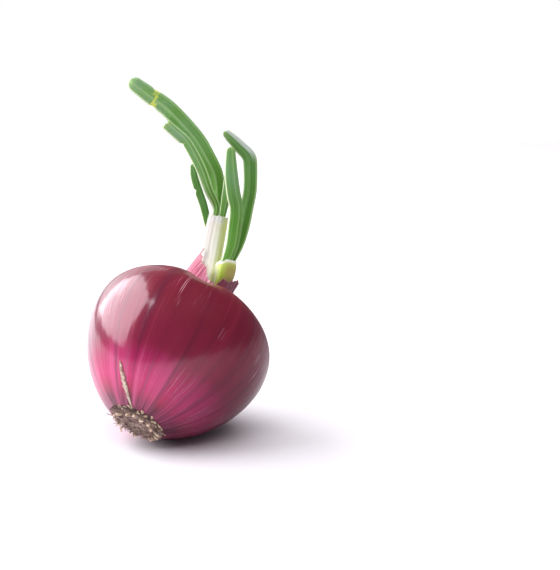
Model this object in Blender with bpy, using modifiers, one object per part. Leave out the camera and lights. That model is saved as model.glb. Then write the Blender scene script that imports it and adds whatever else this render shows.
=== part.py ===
"""A sprouting red onion that lies on its side: Blender 4.5, metres, +Z up.

The bulb, its papery neck and its sprouts are laid out on the bulb's own axis,
from the root end up to the neck. An empty carries that axis, leans it over and
turns it, and lifts it so that the small flat resting spot comes to z = 0.
"""
import math
import random

import bmesh
import bpy
from mathutils import Matrix, Vector

# ---------------------------------------------------------------- dimensions
GAP = 0.0003                    # clearance between neighbouring pieces

# Bulb: rounded crown above its widest ring, and a longer taper to the roots.
BULB_RADIUS = 0.0388
CROWN_HEIGHT = 0.0260
CROWN_FULLNESS = 2.4
BASE_HEIGHT = 0.0420
BASE_FULLNESS = 1.75
BULB_STEPS = 48

# How the bulb lies: the neck end's compass heading, lean from upright, and roll.
HEADING = math.radians(58.15)
LEAN = math.radians(49.45)
ROLL = math.radians(-54.6)
REST_DEPTH = 0.0008             # how deep the flat resting spot bites

# Root plate: the dry disc that the roots grow from, set in a shallow recess.
PLATE_RADIUS = 0.0118
PLATE_THICKNESS = 0.0030
PLATE_PROUD = 0.0016            # how far its face stands out of the bulb
ROOT_COUNT = 18
ROOT_RADIUS = 0.00045
ROOT_INSET = 0.0024             # from the plate's edge to where the roots leave it
ROOT_REACH = 0.0030
ROOT_LIFT = 0.0016
ROOT_SEED = 7

# Neck: the outer skin's dry collar, standing in a step round the crown.
NECK_BASE_RADIUS = 0.0119
NECK_STEP_DEPTH = 0.0009
NECK_WALL = 0.0006
NECK_FOOT = 0.0008              # upright edge at the bottom of the collar
NECK_COLUMNS = 48
NECK_ROWS = 6
# Round the collar: angle, rim height above the step, rim radius, belly.
NECK_STATIONS = [
    (0, 0.0140, 0.0104, -0.0009),
    (45, 0.0105, 0.0102, -0.0009),
    (90, 0.0090, 0.0100, -0.0009),
    (140, 0.0125, 0.0112, 0.0000),
    (165, 0.0168, 0.0108, 0.0008),
    (180, 0.0204, 0.0103, 0.0009),
    (192, 0.0178, 0.0100, 0.0008),
    (213, 0.0147, 0.0096, 0.0003),
    (240, 0.0096, 0.0094, -0.0004),
    (262, 0.0044, 0.0092, -0.0008),
    (284, 0.0040, 0.0093, -0.0009),
    (292, 0.0072, 0.0098, -0.0009),
    (306, 0.0088, 0.0101, -0.0009),
    (323, 0.0108, 0.0103, -0.0009),
    (340, 0.0132, 0.0104, -0.0009),
]

# Sprouts: each station is x, y, height above the neck step, and half width.
# The points are on the bulb's axis, so the sprouts bend back to the light.
FACING = Vector((0.0, -0.883, -0.469))      # the side the leaves turn broad to
SPAN_STEPS = 3                              # rings between two stations
LEAF_SIDES = 12
SHEATH_SIDES = 18

SHEATH_WALL = 0.0004
SHEATH_CAVITY = 0.42            # fraction of the route left open at the mouth
SHEATH_FLATNESS = 0.96
SEAT_SPACING = 3                # rings of the bore between a seated leaf's stations
SHEATH = [
    (-0.0021, 0.0000, 0.0005, 0.0031),
    (-0.0021, 0.0000, 0.0040, 0.0033),
    (-0.0033, 0.0012, 0.0116, 0.0037),
    (-0.0042, 0.0030, 0.0159, 0.0042),
    (-0.0056, 0.0036, 0.0210, 0.0046),
    (-0.0077, 0.0029, 0.0277, 0.0047),
    (-0.0094, 0.0016, 0.0334, 0.0046),
    (-0.0110, -0.0006, 0.0385, 0.0043),
]

STUB_FLATNESS = 0.68
STUB = [
    (0.0032, -0.0028, 0.0005, 0.0022),
    (0.0032, -0.0028, 0.0042, 0.0027),
    (0.0036, -0.0042, 0.0088, 0.0039),
    (0.0030, -0.0048, 0.0130, 0.0046),
    (0.0017, -0.0050, 0.0172, 0.0043),
]

# Three leaves stand in the sheath: how far across and how near, and how wide
# they are there, as parts of the sheath's bore. Beyond the mouth their
# stations count from its centre.
LONG_SEAT = (0.10, -0.38, 0.48)
LEAF_LONG = [
    (-0.0046, -0.0026, 0.0083, 0.0027),
    (-0.0092, -0.0072, 0.0137, 0.0033),
    (-0.0153, -0.0117, 0.0167, 0.0036),
    (-0.0244, -0.0161, 0.0207, 0.0037),
    (-0.0387, -0.0221, 0.0235, 0.0037),
    (-0.0477, -0.0254, 0.0234, 0.0036),
    (-0.0562, -0.0287, 0.0231, 0.0031),
]
BROKEN_SEAT = (-0.40, 0.34, 0.38)
LEAF_BROKEN = [
    (-0.0030, -0.0023, 0.0026, 0.0018),
    (-0.0090, -0.0074, 0.0055, 0.0021),
    (-0.0151, -0.0120, 0.0098, 0.0022),
    (-0.0206, -0.0153, 0.0129, 0.0022),
    (-0.0270, -0.0185, 0.0157, 0.0021),
    (-0.0329, -0.0206, 0.0164, 0.0020),
    (-0.0374, -0.0223, 0.0168, 0.0019),
]
SHORT_SEAT = (0.43, 0.34, 0.32)
LEAF_SHORT = [
    (-0.0005, -0.0063, 0.0056, 0.0018),
    (-0.0034, -0.0106, 0.0126, 0.0018),
    (-0.0061, -0.0126, 0.0184, 0.0014),
]

# The thin leaf grows up behind the sheath, out of the neck itself.
LEAF_THIN = [
    (-0.0023, 0.0060, 0.0005, 0.0012),
    (-0.0023, 0.0067, 0.0070, 0.0013),
    (-0.0050, 0.0094, 0.0244, 0.0016),
    (-0.0092, 0.0087, 0.0316, 0.0017),
    (-0.0152, 0.0060, 0.0382, 0.0017),
    (-0.0200, 0.0034, 0.0430, 0.0018),
    (-0.0247, 0.0009, 0.0468, 0.0018),
    (-0.0290, -0.0020, 0.0505, 0.0016),
    (-0.0314, -0.0038, 0.0533, 0.0011),
]

# Two leaves rise from the stub; their stations count from its cut top.
LEAF_FRONT = [
    (-0.0003, -0.0008, 0.0012, 0.0020),
    (-0.0013, -0.0016, 0.0082, 0.0028),
    (-0.0038, -0.0034, 0.0157, 0.0030),
    (-0.0069, -0.0065, 0.0227, 0.0030),
    (-0.0111, -0.0100, 0.0271, 0.0030),
    (-0.0158, -0.0142, 0.0330, 0.0027),
    (-0.0195, -0.0182, 0.0388, 0.0021),
]
LEAF_BENT = [
    (0.0010, 0.0020, 0.0020, 0.0019),
    (0.0007, 0.0019, 0.0117, 0.0024),
    (-0.0010, 0.0008, 0.0202, 0.0028),
    (-0.0037, -0.0030, 0.0290, 0.0029),
    (-0.0056, -0.0064, 0.0343, 0.0029),
    (-0.0094, -0.0105, 0.0410, 0.0030),
    (-0.0125, -0.0136, 0.0446, 0.0030),
    (-0.0178, -0.0163, 0.0454, 0.0027),
    (-0.0228, -0.0188, 0.0458, 0.0022),
    (-0.0249, -0.0198, 0.0460, 0.0018),
]
LEAF_FLATNESS = 0.42            # a leaf's depth over its width

# Colours: red, green, blue, roughness.
SKIN = (0.30, 0.020, 0.060, 0.25)
PAPER = (0.62, 0.17, 0.26, 0.45)
PLATE = (0.33, 0.25, 0.17, 0.85)
ROOT = (0.56, 0.44, 0.30, 0.80)
SHEATH_WHITE = (0.78, 0.79, 0.62, 0.35)
STUB_GREEN = (0.45, 0.52, 0.06, 0.35)
LEAF_GREEN = (0.10, 0.30, 0.07, 0.42)


# ------------------------------------------------------------------- helpers
def clear_scene():
    for old in list(bpy.data.objects):
        bpy.data.objects.remove(old, do_unlink=True)


def new_collection(name):
    collection = bpy.data.collections.new(name)
    bpy.context.scene.collection.children.link(collection)
    return collection


def paint(piece, colour):
    """Give a piece its own plain Principled material."""
    material = bpy.data.materials.new(piece.name + "_finish")
    material.use_nodes = True
    shader = material.node_tree.nodes["Principled BSDF"]
    shader.inputs["Base Color"].default_value = (*colour[:3], 1.0)
    shader.inputs["Roughness"].default_value = colour[3]
    shader.inputs["Metallic"].default_value = 0.0
    material.diffuse_color = (*colour[:3], 1.0)
    piece.data.materials.append(material)


def add_piece(name, data, collection, parent, colour):
    piece = bpy.data.objects.new(name, data)
    collection.objects.link(piece)
    piece.parent = parent
    paint(piece, colour)
    return piece


def add_mesh_piece(name, bm, collection, parent, colour):
    """Turn a bmesh into a named piece, faces out and shaded smooth."""
    bmesh.ops.recalc_face_normals(bm, faces=bm.faces[:])
    mesh = bpy.data.meshes.new(name)
    bm.to_mesh(mesh)
    bm.free()
    mesh.shade_smooth()
    mesh.set_sharp_from_angle(angle=math.radians(40))
    return add_piece(name, mesh, collection, parent, colour)


def add_empty(name, collection, parent=None):
    empty = bpy.data.objects.new(name, None)
    collection.objects.link(empty)
    empty.parent = parent
    empty.hide_render = True
    return empty


def smooth_route(stations, steps):
    """Read a smooth curve through hand-set stations of any number of values."""
    points = [Vector(station) for station in stations]
    points.insert(0, points[0] * 2 - points[1])
    points.append(points[-1] * 2 - points[-2])
    route = []
    for before, start, end, after in zip(points, points[1:], points[2:], points[3:]):
        for step in range(steps):
            t = step / steps
            bend = (before * 2 - start * 5 + end * 4 - after) * t * t
            twist = (start * 3 - before - end * 3 + after) * t ** 3
            route.append((start * 2 + (end - before) * t + bend + twist) / 2)
    route.append(points[-2])
    return route


def ring_frames(route, flatness):
    """Place a unit circle square to the route at each of its points."""
    frames = []
    for index, point in enumerate(route):
        before = route[max(index - 1, 0)].xyz
        after = route[min(index + 1, len(route) - 1)].xyz
        along = (after - before).normalized()
        across = along.cross(FACING).normalized()
        depth = across.cross(along)
        width = point[3]
        frame = Matrix((across * width, depth * width * flatness, along)).transposed()
        frame = frame.to_4x4()
        frame.translation = point.xyz
        frames.append(frame)
    return frames


def rounded_tip(frame, length):
    """Rings that close the last ring over a blunt round end."""
    rings = []
    for degrees in (30, 55, 75):
        angle = math.radians(degrees)
        shrink = Matrix.Diagonal((math.cos(angle), math.cos(angle), 1.0, 1.0))
        advance = Matrix.Translation((0.0, 0.0, length * math.sin(angle)))
        rings.append(frame @ advance @ shrink)
    return rings


def sweep(frames, sides):
    """Extrude a ring from frame to frame and fill its two open ends."""
    bm = bmesh.new()
    bmesh.ops.create_circle(bm, cap_ends=False, segments=sides, radius=1.0, matrix=frames[0])
    ring = bm.edges[:]
    for last, frame in zip(frames, frames[1:]):
        grown = bmesh.ops.extrude_edge_only(bm, edges=ring)["geom"]
        ring = [part for part in grown if isinstance(part, bmesh.types.BMEdge) and part.is_boundary]
        verts = {vert for edge in ring for vert in edge.verts}
        bmesh.ops.transform(bm, matrix=frame @ last.inverted(), verts=list(verts))
    ends = [edge for edge in bm.edges if edge.is_boundary]
    bmesh.ops.edgeloop_fill(bm, edges=ends)
    return bm


# ---------------------------------------------------------------------- bulb
def superellipse_height(radius, height, fullness):
    """Height of a rounded end over a point at this radius."""
    share = min(radius / BULB_RADIUS, 1.0)
    return height * (1.0 - share ** fullness) ** (1.0 / fullness)


NECK_SEAT_RADIUS = NECK_BASE_RADIUS + GAP
NECK_SEAT_HEIGHT = superellipse_height(NECK_SEAT_RADIUS, CROWN_HEIGHT, CROWN_FULLNESS) - NECK_STEP_DEPTH
RECESS_RADIUS = PLATE_RADIUS + GAP
RECESS_RIM = -superellipse_height(RECESS_RADIUS, BASE_HEIGHT, BASE_FULLNESS)
PLATE_FACE = RECESS_RIM - PLATE_PROUD
PLATE_BACK = PLATE_FACE + PLATE_THICKNESS


def rounded_side(inner_radius, height, fullness, steps, sign):
    """Points of a rounded end, evenly spread from its rim to the widest ring."""
    start = math.acos((inner_radius / BULB_RADIUS) ** (fullness / 2))
    side = []
    for step in range(steps):
        angle = start * (1 - step / steps)
        radius = BULB_RADIUS * math.cos(angle) ** (2 / fullness)
        side.append((radius, sign * superellipse_height(radius, height, fullness)))
    return side


def bulb_profile():
    """The bulb's outline at +X, from the neck step down to the root recess."""
    crown = rounded_side(NECK_SEAT_RADIUS, CROWN_HEIGHT, CROWN_FULLNESS, 11, 1)
    base = rounded_side(RECESS_RADIUS, BASE_HEIGHT, BASE_FULLNESS, 14, -1)
    outline = [(0.0, NECK_SEAT_HEIGHT), (NECK_SEAT_RADIUS, NECK_SEAT_HEIGHT)]
    outline += crown + [(BULB_RADIUS, 0.0)] + base[::-1]
    outline += [(RECESS_RADIUS, PLATE_BACK + GAP), (0.0, PLATE_BACK + GAP)]
    return outline


def turned(name, outline, steps, collection, parent, colour):
    """A solid of revolution: the outline with a Screw modifier about Z."""
    mesh = bpy.data.meshes.new(name)
    points = [(radius, 0.0, height) for radius, height in outline]
    mesh.from_pydata(points, [(i, i + 1) for i in range(len(points) - 1)], [])
    piece = add_piece(name, mesh, collection, parent, colour)
    screw = piece.modifiers.new("turn", "SCREW")
    screw.steps = steps
    screw.render_steps = steps
    screw.use_merge_vertices = True
    screw.merge_threshold = 0.00001
    screw.use_smooth_shade = True
    return piece


def place_axis(axis):
    """Lean and turn the bulb's axis, and set the resting spot on z = 0."""
    down = min(bulb_profile(), key=lambda p: p[1] * math.cos(LEAN) - p[0] * math.sin(LEAN))
    height = down[0] * math.sin(LEAN) - down[1] * math.cos(LEAN) - REST_DEPTH
    run = -(down[1] * math.sin(LEAN) + down[0] * math.cos(LEAN))
    centre = Matrix.Translation((run * math.cos(HEADING), run * math.sin(HEADING), height))
    turn = Matrix.Rotation(HEADING, 4, "Z") @ Matrix.Rotation(LEAN, 4, "Y")
    axis.matrix_world = centre @ turn @ Matrix.Rotation(ROLL, 4, "Z")
    bpy.context.view_layer.update()


def add_bulb(collection, cutters, axis):
    bulb = turned("bulb", bulb_profile(), BULB_STEPS, collection, axis, SKIN)
    bm = bmesh.new()
    size = 4 * BULB_RADIUS
    bmesh.ops.create_cube(bm, size=size, matrix=Matrix.Translation((0.0, 0.0, -size / 2)))
    mesh = bpy.data.meshes.new("resting_plane")
    bm.to_mesh(mesh)
    bm.free()
    plane = bpy.data.objects.new("resting_plane", mesh)
    cutters.objects.link(plane)
    plane.hide_render = True
    plane.display_type = "WIRE"
    cut = bulb.modifiers.new("resting_spot", "BOOLEAN")
    cut.operation = "DIFFERENCE"
    cut.solver = "EXACT"
    cut.object = plane


# --------------------------------------------------------------------- roots
def plate_face(radius):
    """Height of the plate's domed face at this radius."""
    share = min(radius / PLATE_RADIUS, 1.0)
    return PLATE_FACE + PLATE_PROUD * share ** 4


def add_root_plate(collection, axis):
    outline = [(0.0, PLATE_BACK), (PLATE_RADIUS, PLATE_BACK)]
    outline += [(PLATE_RADIUS * share, plate_face(PLATE_RADIUS * share))
                for share in (1.0, 0.96, 0.9, 0.8, 0.65, 0.45, 0.25)]
    outline.append((0.0, PLATE_FACE))
    turned("root_plate", outline, 40, collection, axis, PLATE)


def root_route(number, dice):
    """One dry root: out of the plate's face, then curling over towards the rim.

    Roots on the underside grow shorter, pressed back by what the bulb lies on.
    """
    angle = math.tau * (number + dice.uniform(-0.3, 0.3)) / ROOT_COUNT
    start = PLATE_RADIUS - ROOT_INSET + dice.uniform(-0.0010, 0.0006)
    downward = max(0.0, math.cos(angle + ROLL))
    reach = ROOT_REACH * dice.uniform(0.8, 1.1) * (1 - 0.55 * downward)
    lift = ROOT_LIFT * dice.uniform(0.8, 1.2) * (1 - 0.35 * downward)
    curl = dice.uniform(-0.20, 0.20)
    points = []
    for step in range(7):
        t = step / 6
        radius = start + reach * t
        turn = angle + curl * t * t
        rise = ROOT_RADIUS + GAP + lift * math.sin(math.pi * 0.62 * t)
        height = plate_face(start) - rise
        points.append((radius * math.cos(turn), radius * math.sin(turn), height))
    return points


def add_roots(collection, axis):
    dice = random.Random(ROOT_SEED)
    for number in range(ROOT_COUNT):
        name = f"root_{number + 1:02d}"
        curve = bpy.data.curves.new(name, "CURVE")
        curve.dimensions = "3D"
        curve.bevel_depth = ROOT_RADIUS
        curve.bevel_resolution = 1
        curve.use_fill_caps = True
        spline = curve.splines.new("POLY")
        route = root_route(number, dice)
        spline.points.add(len(route) - 1)
        for point, place in zip(spline.points, route):
            point.co = (*place, 1.0)
        add_piece(name, curve, collection, axis, ROOT)


# ---------------------------------------------------------------------- neck
def neck_station(degrees):
    """Rim height, rim radius and belly of the collar at any angle round it."""
    stations = NECK_STATIONS + [(NECK_STATIONS[0][0] + 360, *NECK_STATIONS[0][1:])]
    for low, high in zip(stations, stations[1:]):
        if low[0] <= degrees <= high[0]:
            t = (degrees - low[0]) / (high[0] - low[0])
            return [a + (b - a) * t for a, b in zip(low[1:], high[1:])]


def add_neck_skin(collection, seat):
    """The dry collar: one open sheet round the neck, given its wall."""
    bm = bmesh.new()
    bmesh.ops.create_circle(bm, segments=NECK_COLUMNS, radius=1.0)
    ring = bm.edges[:]
    rows = [bm.verts[:]]
    for row in range(NECK_ROWS):
        grown = bmesh.ops.extrude_edge_only(bm, edges=ring)["geom"]
        ring = [part for part in grown if isinstance(part, bmesh.types.BMEdge) and part.is_boundary]
        rows.append(list({vert for edge in ring for vert in edge.verts}))
    for row, verts in enumerate(rows):
        t = max(row - 1, 0) / (NECK_ROWS - 1)
        foot = GAP + (NECK_FOOT if row else 0.0)
        for vert in verts:
            angle = math.atan2(vert.co.y, vert.co.x)
            height, radius, belly = neck_station(math.degrees(angle) % 360)
            out = NECK_BASE_RADIUS + (radius - NECK_BASE_RADIUS) * t + belly * math.sin(math.pi * t)
            rise = foot + (height - foot) * t
            vert.co = (out * math.cos(angle), out * math.sin(angle), rise)
    neck = add_mesh_piece("neck_skin", bm, collection, seat, PAPER)
    wall = neck.modifiers.new("wall", "SOLIDIFY")
    wall.thickness = NECK_WALL
    wall.offset = -1.0


# ------------------------------------------------------------------- sprouts
def narrowed(route, wall):
    """The same route with its half width cut down by a wall."""
    return [Vector((*point.xyz, point[3] - wall)) for point in route]


def sheath_bore():
    """Centre line and half width of the open part of the sheath."""
    route = smooth_route(SHEATH, SPAN_STEPS)
    first_open = round(len(route) * (1 - SHEATH_CAVITY))
    return narrowed(route[first_open:], SHEATH_WALL)


def seated_base(seat_in_bore):
    """Stations of a leaf base that stands in the sheath's bore."""
    across, near, width = seat_in_bore
    bore = sheath_bore()
    stations = []
    for frame, point in list(zip(ring_frames(bore, SHEATH_FLATNESS), bore))[1::SEAT_SPACING]:
        place = frame @ Vector((across, near, 0.0))
        stations.append((*place, width * point[3]))
    return stations


def shifted(stations, origin):
    """Stations that were counted from another piece's end."""
    return [(*(Vector(station[:3]) + Vector(origin[:3])), station[3]) for station in stations]


def add_white_sheath(collection, seat):
    """The pale leaf base: a tube with a closed foot and an open mouth."""
    outer = ring_frames(smooth_route(SHEATH, SPAN_STEPS), SHEATH_FLATNESS)
    lining = ring_frames(sheath_bore(), SHEATH_FLATNESS)
    bm = sweep(outer + lining[::-1], SHEATH_SIDES)
    add_mesh_piece("white_sheath", bm, collection, seat, SHEATH_WHITE)


def add_green_stub(collection, seat):
    """The cut-off leaf base in front: a short flattened solid."""
    route = smooth_route(STUB, SPAN_STEPS)
    bm = sweep(ring_frames(route, STUB_FLATNESS), SHEATH_SIDES)
    add_mesh_piece("green_stub", bm, collection, seat, STUB_GREEN)


def add_leaf(name, stations, collection, seat, blunt=False):
    """One flattened leaf; a broken one ends blunt, the rest in a round tip."""
    frames = ring_frames(smooth_route(stations, SPAN_STEPS), LEAF_FLATNESS)
    if not blunt:
        frames += rounded_tip(frames[-1], stations[-1][3])
    add_mesh_piece(name, sweep(frames, LEAF_SIDES), collection, seat, LEAF_GREEN)


def add_leaves(collection, seat):
    mouth = SHEATH[-1]
    top = STUB[-1]
    add_leaf("leaf_long", seated_base(LONG_SEAT) + shifted(LEAF_LONG, mouth), collection, seat)
    add_leaf("leaf_broken", seated_base(BROKEN_SEAT) + shifted(LEAF_BROKEN, mouth), collection, seat, True)
    add_leaf("leaf_short", seated_base(SHORT_SEAT) + shifted(LEAF_SHORT, mouth), collection, seat)
    add_leaf("leaf_thin", LEAF_THIN, collection, seat)
    add_leaf("leaf_front", shifted(LEAF_FRONT, top), collection, seat)
    add_leaf("leaf_bent", shifted(LEAF_BENT, top), collection, seat)


# ---------------------------------------------------------------------- main
def main():
    clear_scene()
    onion = new_collection("red_onion")
    cutters = new_collection("cutters")
    axis = add_empty("bulb_axis", onion)
    place_axis(axis)
    seat = add_empty("neck_seat", onion, axis)
    seat.location = (0.0, 0.0, NECK_SEAT_HEIGHT)

    add_bulb(onion, cutters, axis)
    add_root_plate(onion, axis)
    add_roots(onion, axis)
    add_neck_skin(onion, seat)
    add_white_sheath(onion, seat)
    add_green_stub(onion, seat)
    add_leaves(onion, seat)


main()
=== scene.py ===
# %% [markdown]
# # A sprouting red onion
#
# This notebook builds the looks of a red onion that has started to sprout. It
# lies on its side, with its dry roots low at one end and a tuft of green
# leaves at the other. The onion's layout comes ready as a fixed frame: each
# piece has a name, a place and a size there. Here every piece gets the shape
# and the finish that the eye sees, and nothing is moved or resized.

import math
import random

import bmesh
import bpy
from mathutils import Matrix, Vector, noise


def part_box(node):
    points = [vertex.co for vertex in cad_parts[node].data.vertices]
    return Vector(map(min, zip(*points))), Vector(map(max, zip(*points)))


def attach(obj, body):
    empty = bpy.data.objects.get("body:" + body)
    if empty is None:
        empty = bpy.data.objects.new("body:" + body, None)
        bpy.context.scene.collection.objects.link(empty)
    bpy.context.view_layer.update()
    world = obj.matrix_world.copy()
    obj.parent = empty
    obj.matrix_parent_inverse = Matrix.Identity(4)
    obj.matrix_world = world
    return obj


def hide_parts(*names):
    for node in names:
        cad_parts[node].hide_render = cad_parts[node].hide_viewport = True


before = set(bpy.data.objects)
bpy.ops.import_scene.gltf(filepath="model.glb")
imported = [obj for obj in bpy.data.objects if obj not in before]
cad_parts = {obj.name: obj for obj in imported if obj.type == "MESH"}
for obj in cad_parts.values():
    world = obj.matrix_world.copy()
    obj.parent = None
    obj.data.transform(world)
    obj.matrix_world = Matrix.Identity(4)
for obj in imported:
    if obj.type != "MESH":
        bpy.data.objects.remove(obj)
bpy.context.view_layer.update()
print("frame nodes:", len(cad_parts))

# %% [markdown]
# ## The bulb's own axis
#
# An onion is easiest to model upright, root below and neck on top, and to lean
# over afterwards. The numbers below are the frame's own, in metres: the widest
# radius, how high the crown and how deep the root end reach from there, and how
# full each end is. A superellipse draws both ends: with a fullness of 2 it is
# an ordinary ellipse, with more it is squarer, with less more pointed.

# %% The bulb's sizes
BULB_RADIUS = 0.0388
CROWN_HEIGHT = 0.0260
CROWN_FULLNESS = 2.4
BASE_HEIGHT = 0.0420
BASE_FULLNESS = 1.75
HEADING = math.radians(58.15)
LEAN = math.radians(49.45)
ROLL = math.radians(-54.6)
REST_DEPTH = 0.0008
NECK_RADIUS = 0.0122
NECK_STEP = 0.0009
PLATE_RADIUS = 0.0118
PLATE_PROUD = 0.0016
GAP = 0.0003


def end_height(radius, height, fullness):
    """Height of a rounded end over a point at this radius."""
    share = min(radius / BULB_RADIUS, 1.0)
    return height * (1.0 - share ** fullness) ** (1.0 / fullness)


SEAT_HEIGHT = end_height(NECK_RADIUS, CROWN_HEIGHT, CROWN_FULLNESS) - NECK_STEP
ROOT_RIM = -end_height(PLATE_RADIUS + GAP, BASE_HEIGHT, BASE_FULLNESS)
PLATE_FACE = ROOT_RIM - PLATE_PROUD
print("neck seat at %.4f, root rim at %.4f along the axis" % (SEAT_HEIGHT, ROOT_RIM))

# %% [markdown]
# The leaning axis becomes one matrix. Every mesh below is made upright and sent
# through it at the end, so a finished object sits at the world's origin,
# unturned, with its place in its mesh. The height comes from the lowest point
# of the leaning outline, less the small flat spot that the bulb rests on.

# %% The matrix that leans the onion over
OUTLINE_STEPS = 14


def rounded_side(inner_radius, height, fullness, steps, sign):
    """Points of a rounded end, from its rim to just before the widest ring."""
    start = math.acos((inner_radius / BULB_RADIUS) ** (fullness / 2))
    side = []
    for step in range(steps):
        radius = BULB_RADIUS * math.cos(start * (1 - step / steps)) ** (2 / fullness)
        side.append((radius, sign * end_height(radius, height, fullness)))
    return side


def lean_matrix():
    """Lean the bulb over, with the lowest point of its outline on the floor."""
    base = rounded_side(PLATE_RADIUS + GAP, BASE_HEIGHT, BASE_FULLNESS, OUTLINE_STEPS, -1)
    radius, along = min(base, key=lambda p: p[1] * math.cos(LEAN) - p[0] * math.sin(LEAN))
    height = radius * math.sin(LEAN) - along * math.cos(LEAN) - REST_DEPTH
    run = -(along * math.sin(LEAN) + radius * math.cos(LEAN))
    centre = Matrix.Translation((run * math.cos(HEADING), run * math.sin(HEADING), height))
    turn = Matrix.Rotation(HEADING, 4, "Z") @ Matrix.Rotation(LEAN, 4, "Y")
    return centre @ turn @ Matrix.Rotation(ROLL, 4, "Z")


AXIS = lean_matrix()
SEAT = AXIS @ Matrix.Translation((0.0, 0.0, SEAT_HEIGHT))
CENTRE = AXIS.translation
print("bulb centre", [round(v, 4) for v in CENTRE], "frame box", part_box("bulb"))

# %% [markdown]
# ## The studio
#
# A long lens from a little way off keeps the onion's proportions true, and the
# camera looks slightly down on it. It is aimed past the onion's right side,
# which leaves the onion left of the picture's middle with free floor beside it.

# %% Camera
CAMERA_DISTANCE = 0.640
CAMERA_DOWN = math.radians(14.0)
AIM_ASIDE = 0.0424
AIM_RAISED = 0.0250
LENS = 96.8
SENSOR = 36.0

camera_data = bpy.data.cameras.new("camera")
camera_data.lens = LENS
camera_data.sensor_fit = "VERTICAL"
camera_data.sensor_height = SENSOR
camera_data.clip_start = 0.01
camera = bpy.data.objects.new("camera", camera_data)
bpy.context.scene.collection.objects.link(camera)
forward = Vector((0.0, math.cos(CAMERA_DOWN), -math.sin(CAMERA_DOWN)))
upward = Vector((0.0, math.sin(CAMERA_DOWN), math.cos(CAMERA_DOWN)))
aim = CENTRE + Vector((AIM_ASIDE, 0.0, 0.0)) + upward * AIM_RAISED
camera.location = aim - forward * CAMERA_DISTANCE
camera.rotation_euler = (math.pi / 2 - CAMERA_DOWN, 0.0, 0.0)
bpy.context.scene.camera = camera
print("camera at", [round(v, 3) for v in camera.location])

# %% [markdown]
# The onion is glossy, so what it reflects matters as much as its own colour. A
# large soft panel at the left gives the broad pale patch on its shoulder, and
# one behind rims the leaves. A wide panel overhead lights the floor; it is kept
# out of reflections, or it would put a second bright patch on the skin.

# %% Light
LIGHTS = [
    # name, place, aimed at, width and height, watts, tint, shows in reflections
    ("left_panel", (-0.725, 0.25, 0.55), (0, 0.25, 0.16), (1.25, 0.90), 15, (0.96, 0.93, 1), True),
    ("back_panel", (-1.00, 1.60, 0.75), (0, 0, 0.05), (2.0, 1.3), 12, (1, 0.97, 1), True),
    ("floor_fill", (0.12, -0.20, 1.72), (0.05, 0.1, 0), (2.5, 2.3), 39, (1, 0.96, 1), False),
]


def soft_panel(name, place, target, sides, power, tint, glossy):
    """A rectangular soft light that faces its target."""
    data = bpy.data.lights.new(name, "AREA")
    data.shape = "RECTANGLE"
    data.size, data.size_y = sides
    data.energy = power
    data.color = tint
    panel = bpy.data.objects.new(name, data)
    bpy.context.scene.collection.objects.link(panel)
    panel.location = place
    panel.rotation_euler = (Vector(target) - Vector(place)).to_track_quat("-Z", "Y").to_euler()
    panel.visible_camera = False
    panel.visible_glossy = glossy


for light in LIGHTS:
    soft_panel(*light)
print("lights:", [light[0] for light in LIGHTS])

# %% [markdown]
# The floor is plain pale paper. Its reflection brightens the bulb's lower half
# up to the line of the horizon. The room is white where the camera looks past
# the floor, but dim for everything that it lights, and that keeps the upper
# skin a deep wine red.

# %% Floor and room
FLOOR_HALF = 1.6
FLOOR_SHIFT = (0.0, -0.80, 0.0)
FLOOR_COLOUR = (0.865, 0.86, 0.87, 1.0)
ROOM_COLOUR = (0.80, 0.82, 0.90, 1.0)
ROOM_STRENGTH = 0.17


def make_floor():
    bm = bmesh.new()
    bmesh.ops.create_grid(bm, x_segments=1, y_segments=1, size=FLOOR_HALF)
    bmesh.ops.translate(bm, verts=bm.verts[:], vec=FLOOR_SHIFT)
    mesh = bpy.data.meshes.new("floor")
    bm.to_mesh(mesh)
    bm.free()
    floor = bpy.data.objects.new("floor", mesh)
    bpy.context.scene.collection.objects.link(floor)
    material = bpy.data.materials.new("floor_paper")
    material.use_nodes = True
    shader = material.node_tree.nodes["Principled BSDF"]
    shader.inputs["Base Color"].default_value = FLOOR_COLOUR
    shader.inputs["Roughness"].default_value = 0.9
    mesh.materials.append(material)


def make_room():
    """White where the camera looks, dim for everything that it lights."""
    world = bpy.data.worlds.new("room")
    bpy.context.scene.world = world
    world.use_nodes = True
    tree = world.node_tree
    tree.nodes.clear()
    output = tree.nodes.new("ShaderNodeOutputWorld")
    mix = tree.nodes.new("ShaderNodeMixShader")
    path = tree.nodes.new("ShaderNodeLightPath")
    dim = tree.nodes.new("ShaderNodeBackground")
    white = tree.nodes.new("ShaderNodeBackground")
    dim.inputs["Color"].default_value = ROOM_COLOUR
    dim.inputs["Strength"].default_value = ROOM_STRENGTH
    white.inputs["Color"].default_value = (1.0, 1.0, 1.0, 1.0)
    tree.links.new(path.outputs["Is Camera Ray"], mix.inputs["Fac"])
    tree.links.new(dim.outputs["Background"], mix.inputs[1])
    tree.links.new(white.outputs["Background"], mix.inputs[2])
    tree.links.new(mix.outputs["Shader"], output.inputs["Surface"])


make_floor()
make_room()
bpy.context.scene.view_settings.view_transform = "Standard"
print("floor is", 2 * FLOOR_HALF, "m wide")

# %% [markdown]
# ## Tools for materials
#
# Nearly all the patterns of an onion run lengthwise: veins and streaks go from
# root to neck, and ribs go from a leaf's foot to its tip. So each mesh carries
# an attribute named grain. Its first two values say where a point lies round
# the piece, as a direction on a circle, and the third says how far along it
# is. Noise that is stretched in that third value turns into lines that follow
# the shape, with no seam. That effect is a node group, used by every material.
# A second group makes soft patches in space, for stains and grit.

# %% Node groups
FLOAT = "NodeSocketFloat"
VECTOR = "NodeSocketVector"


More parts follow.
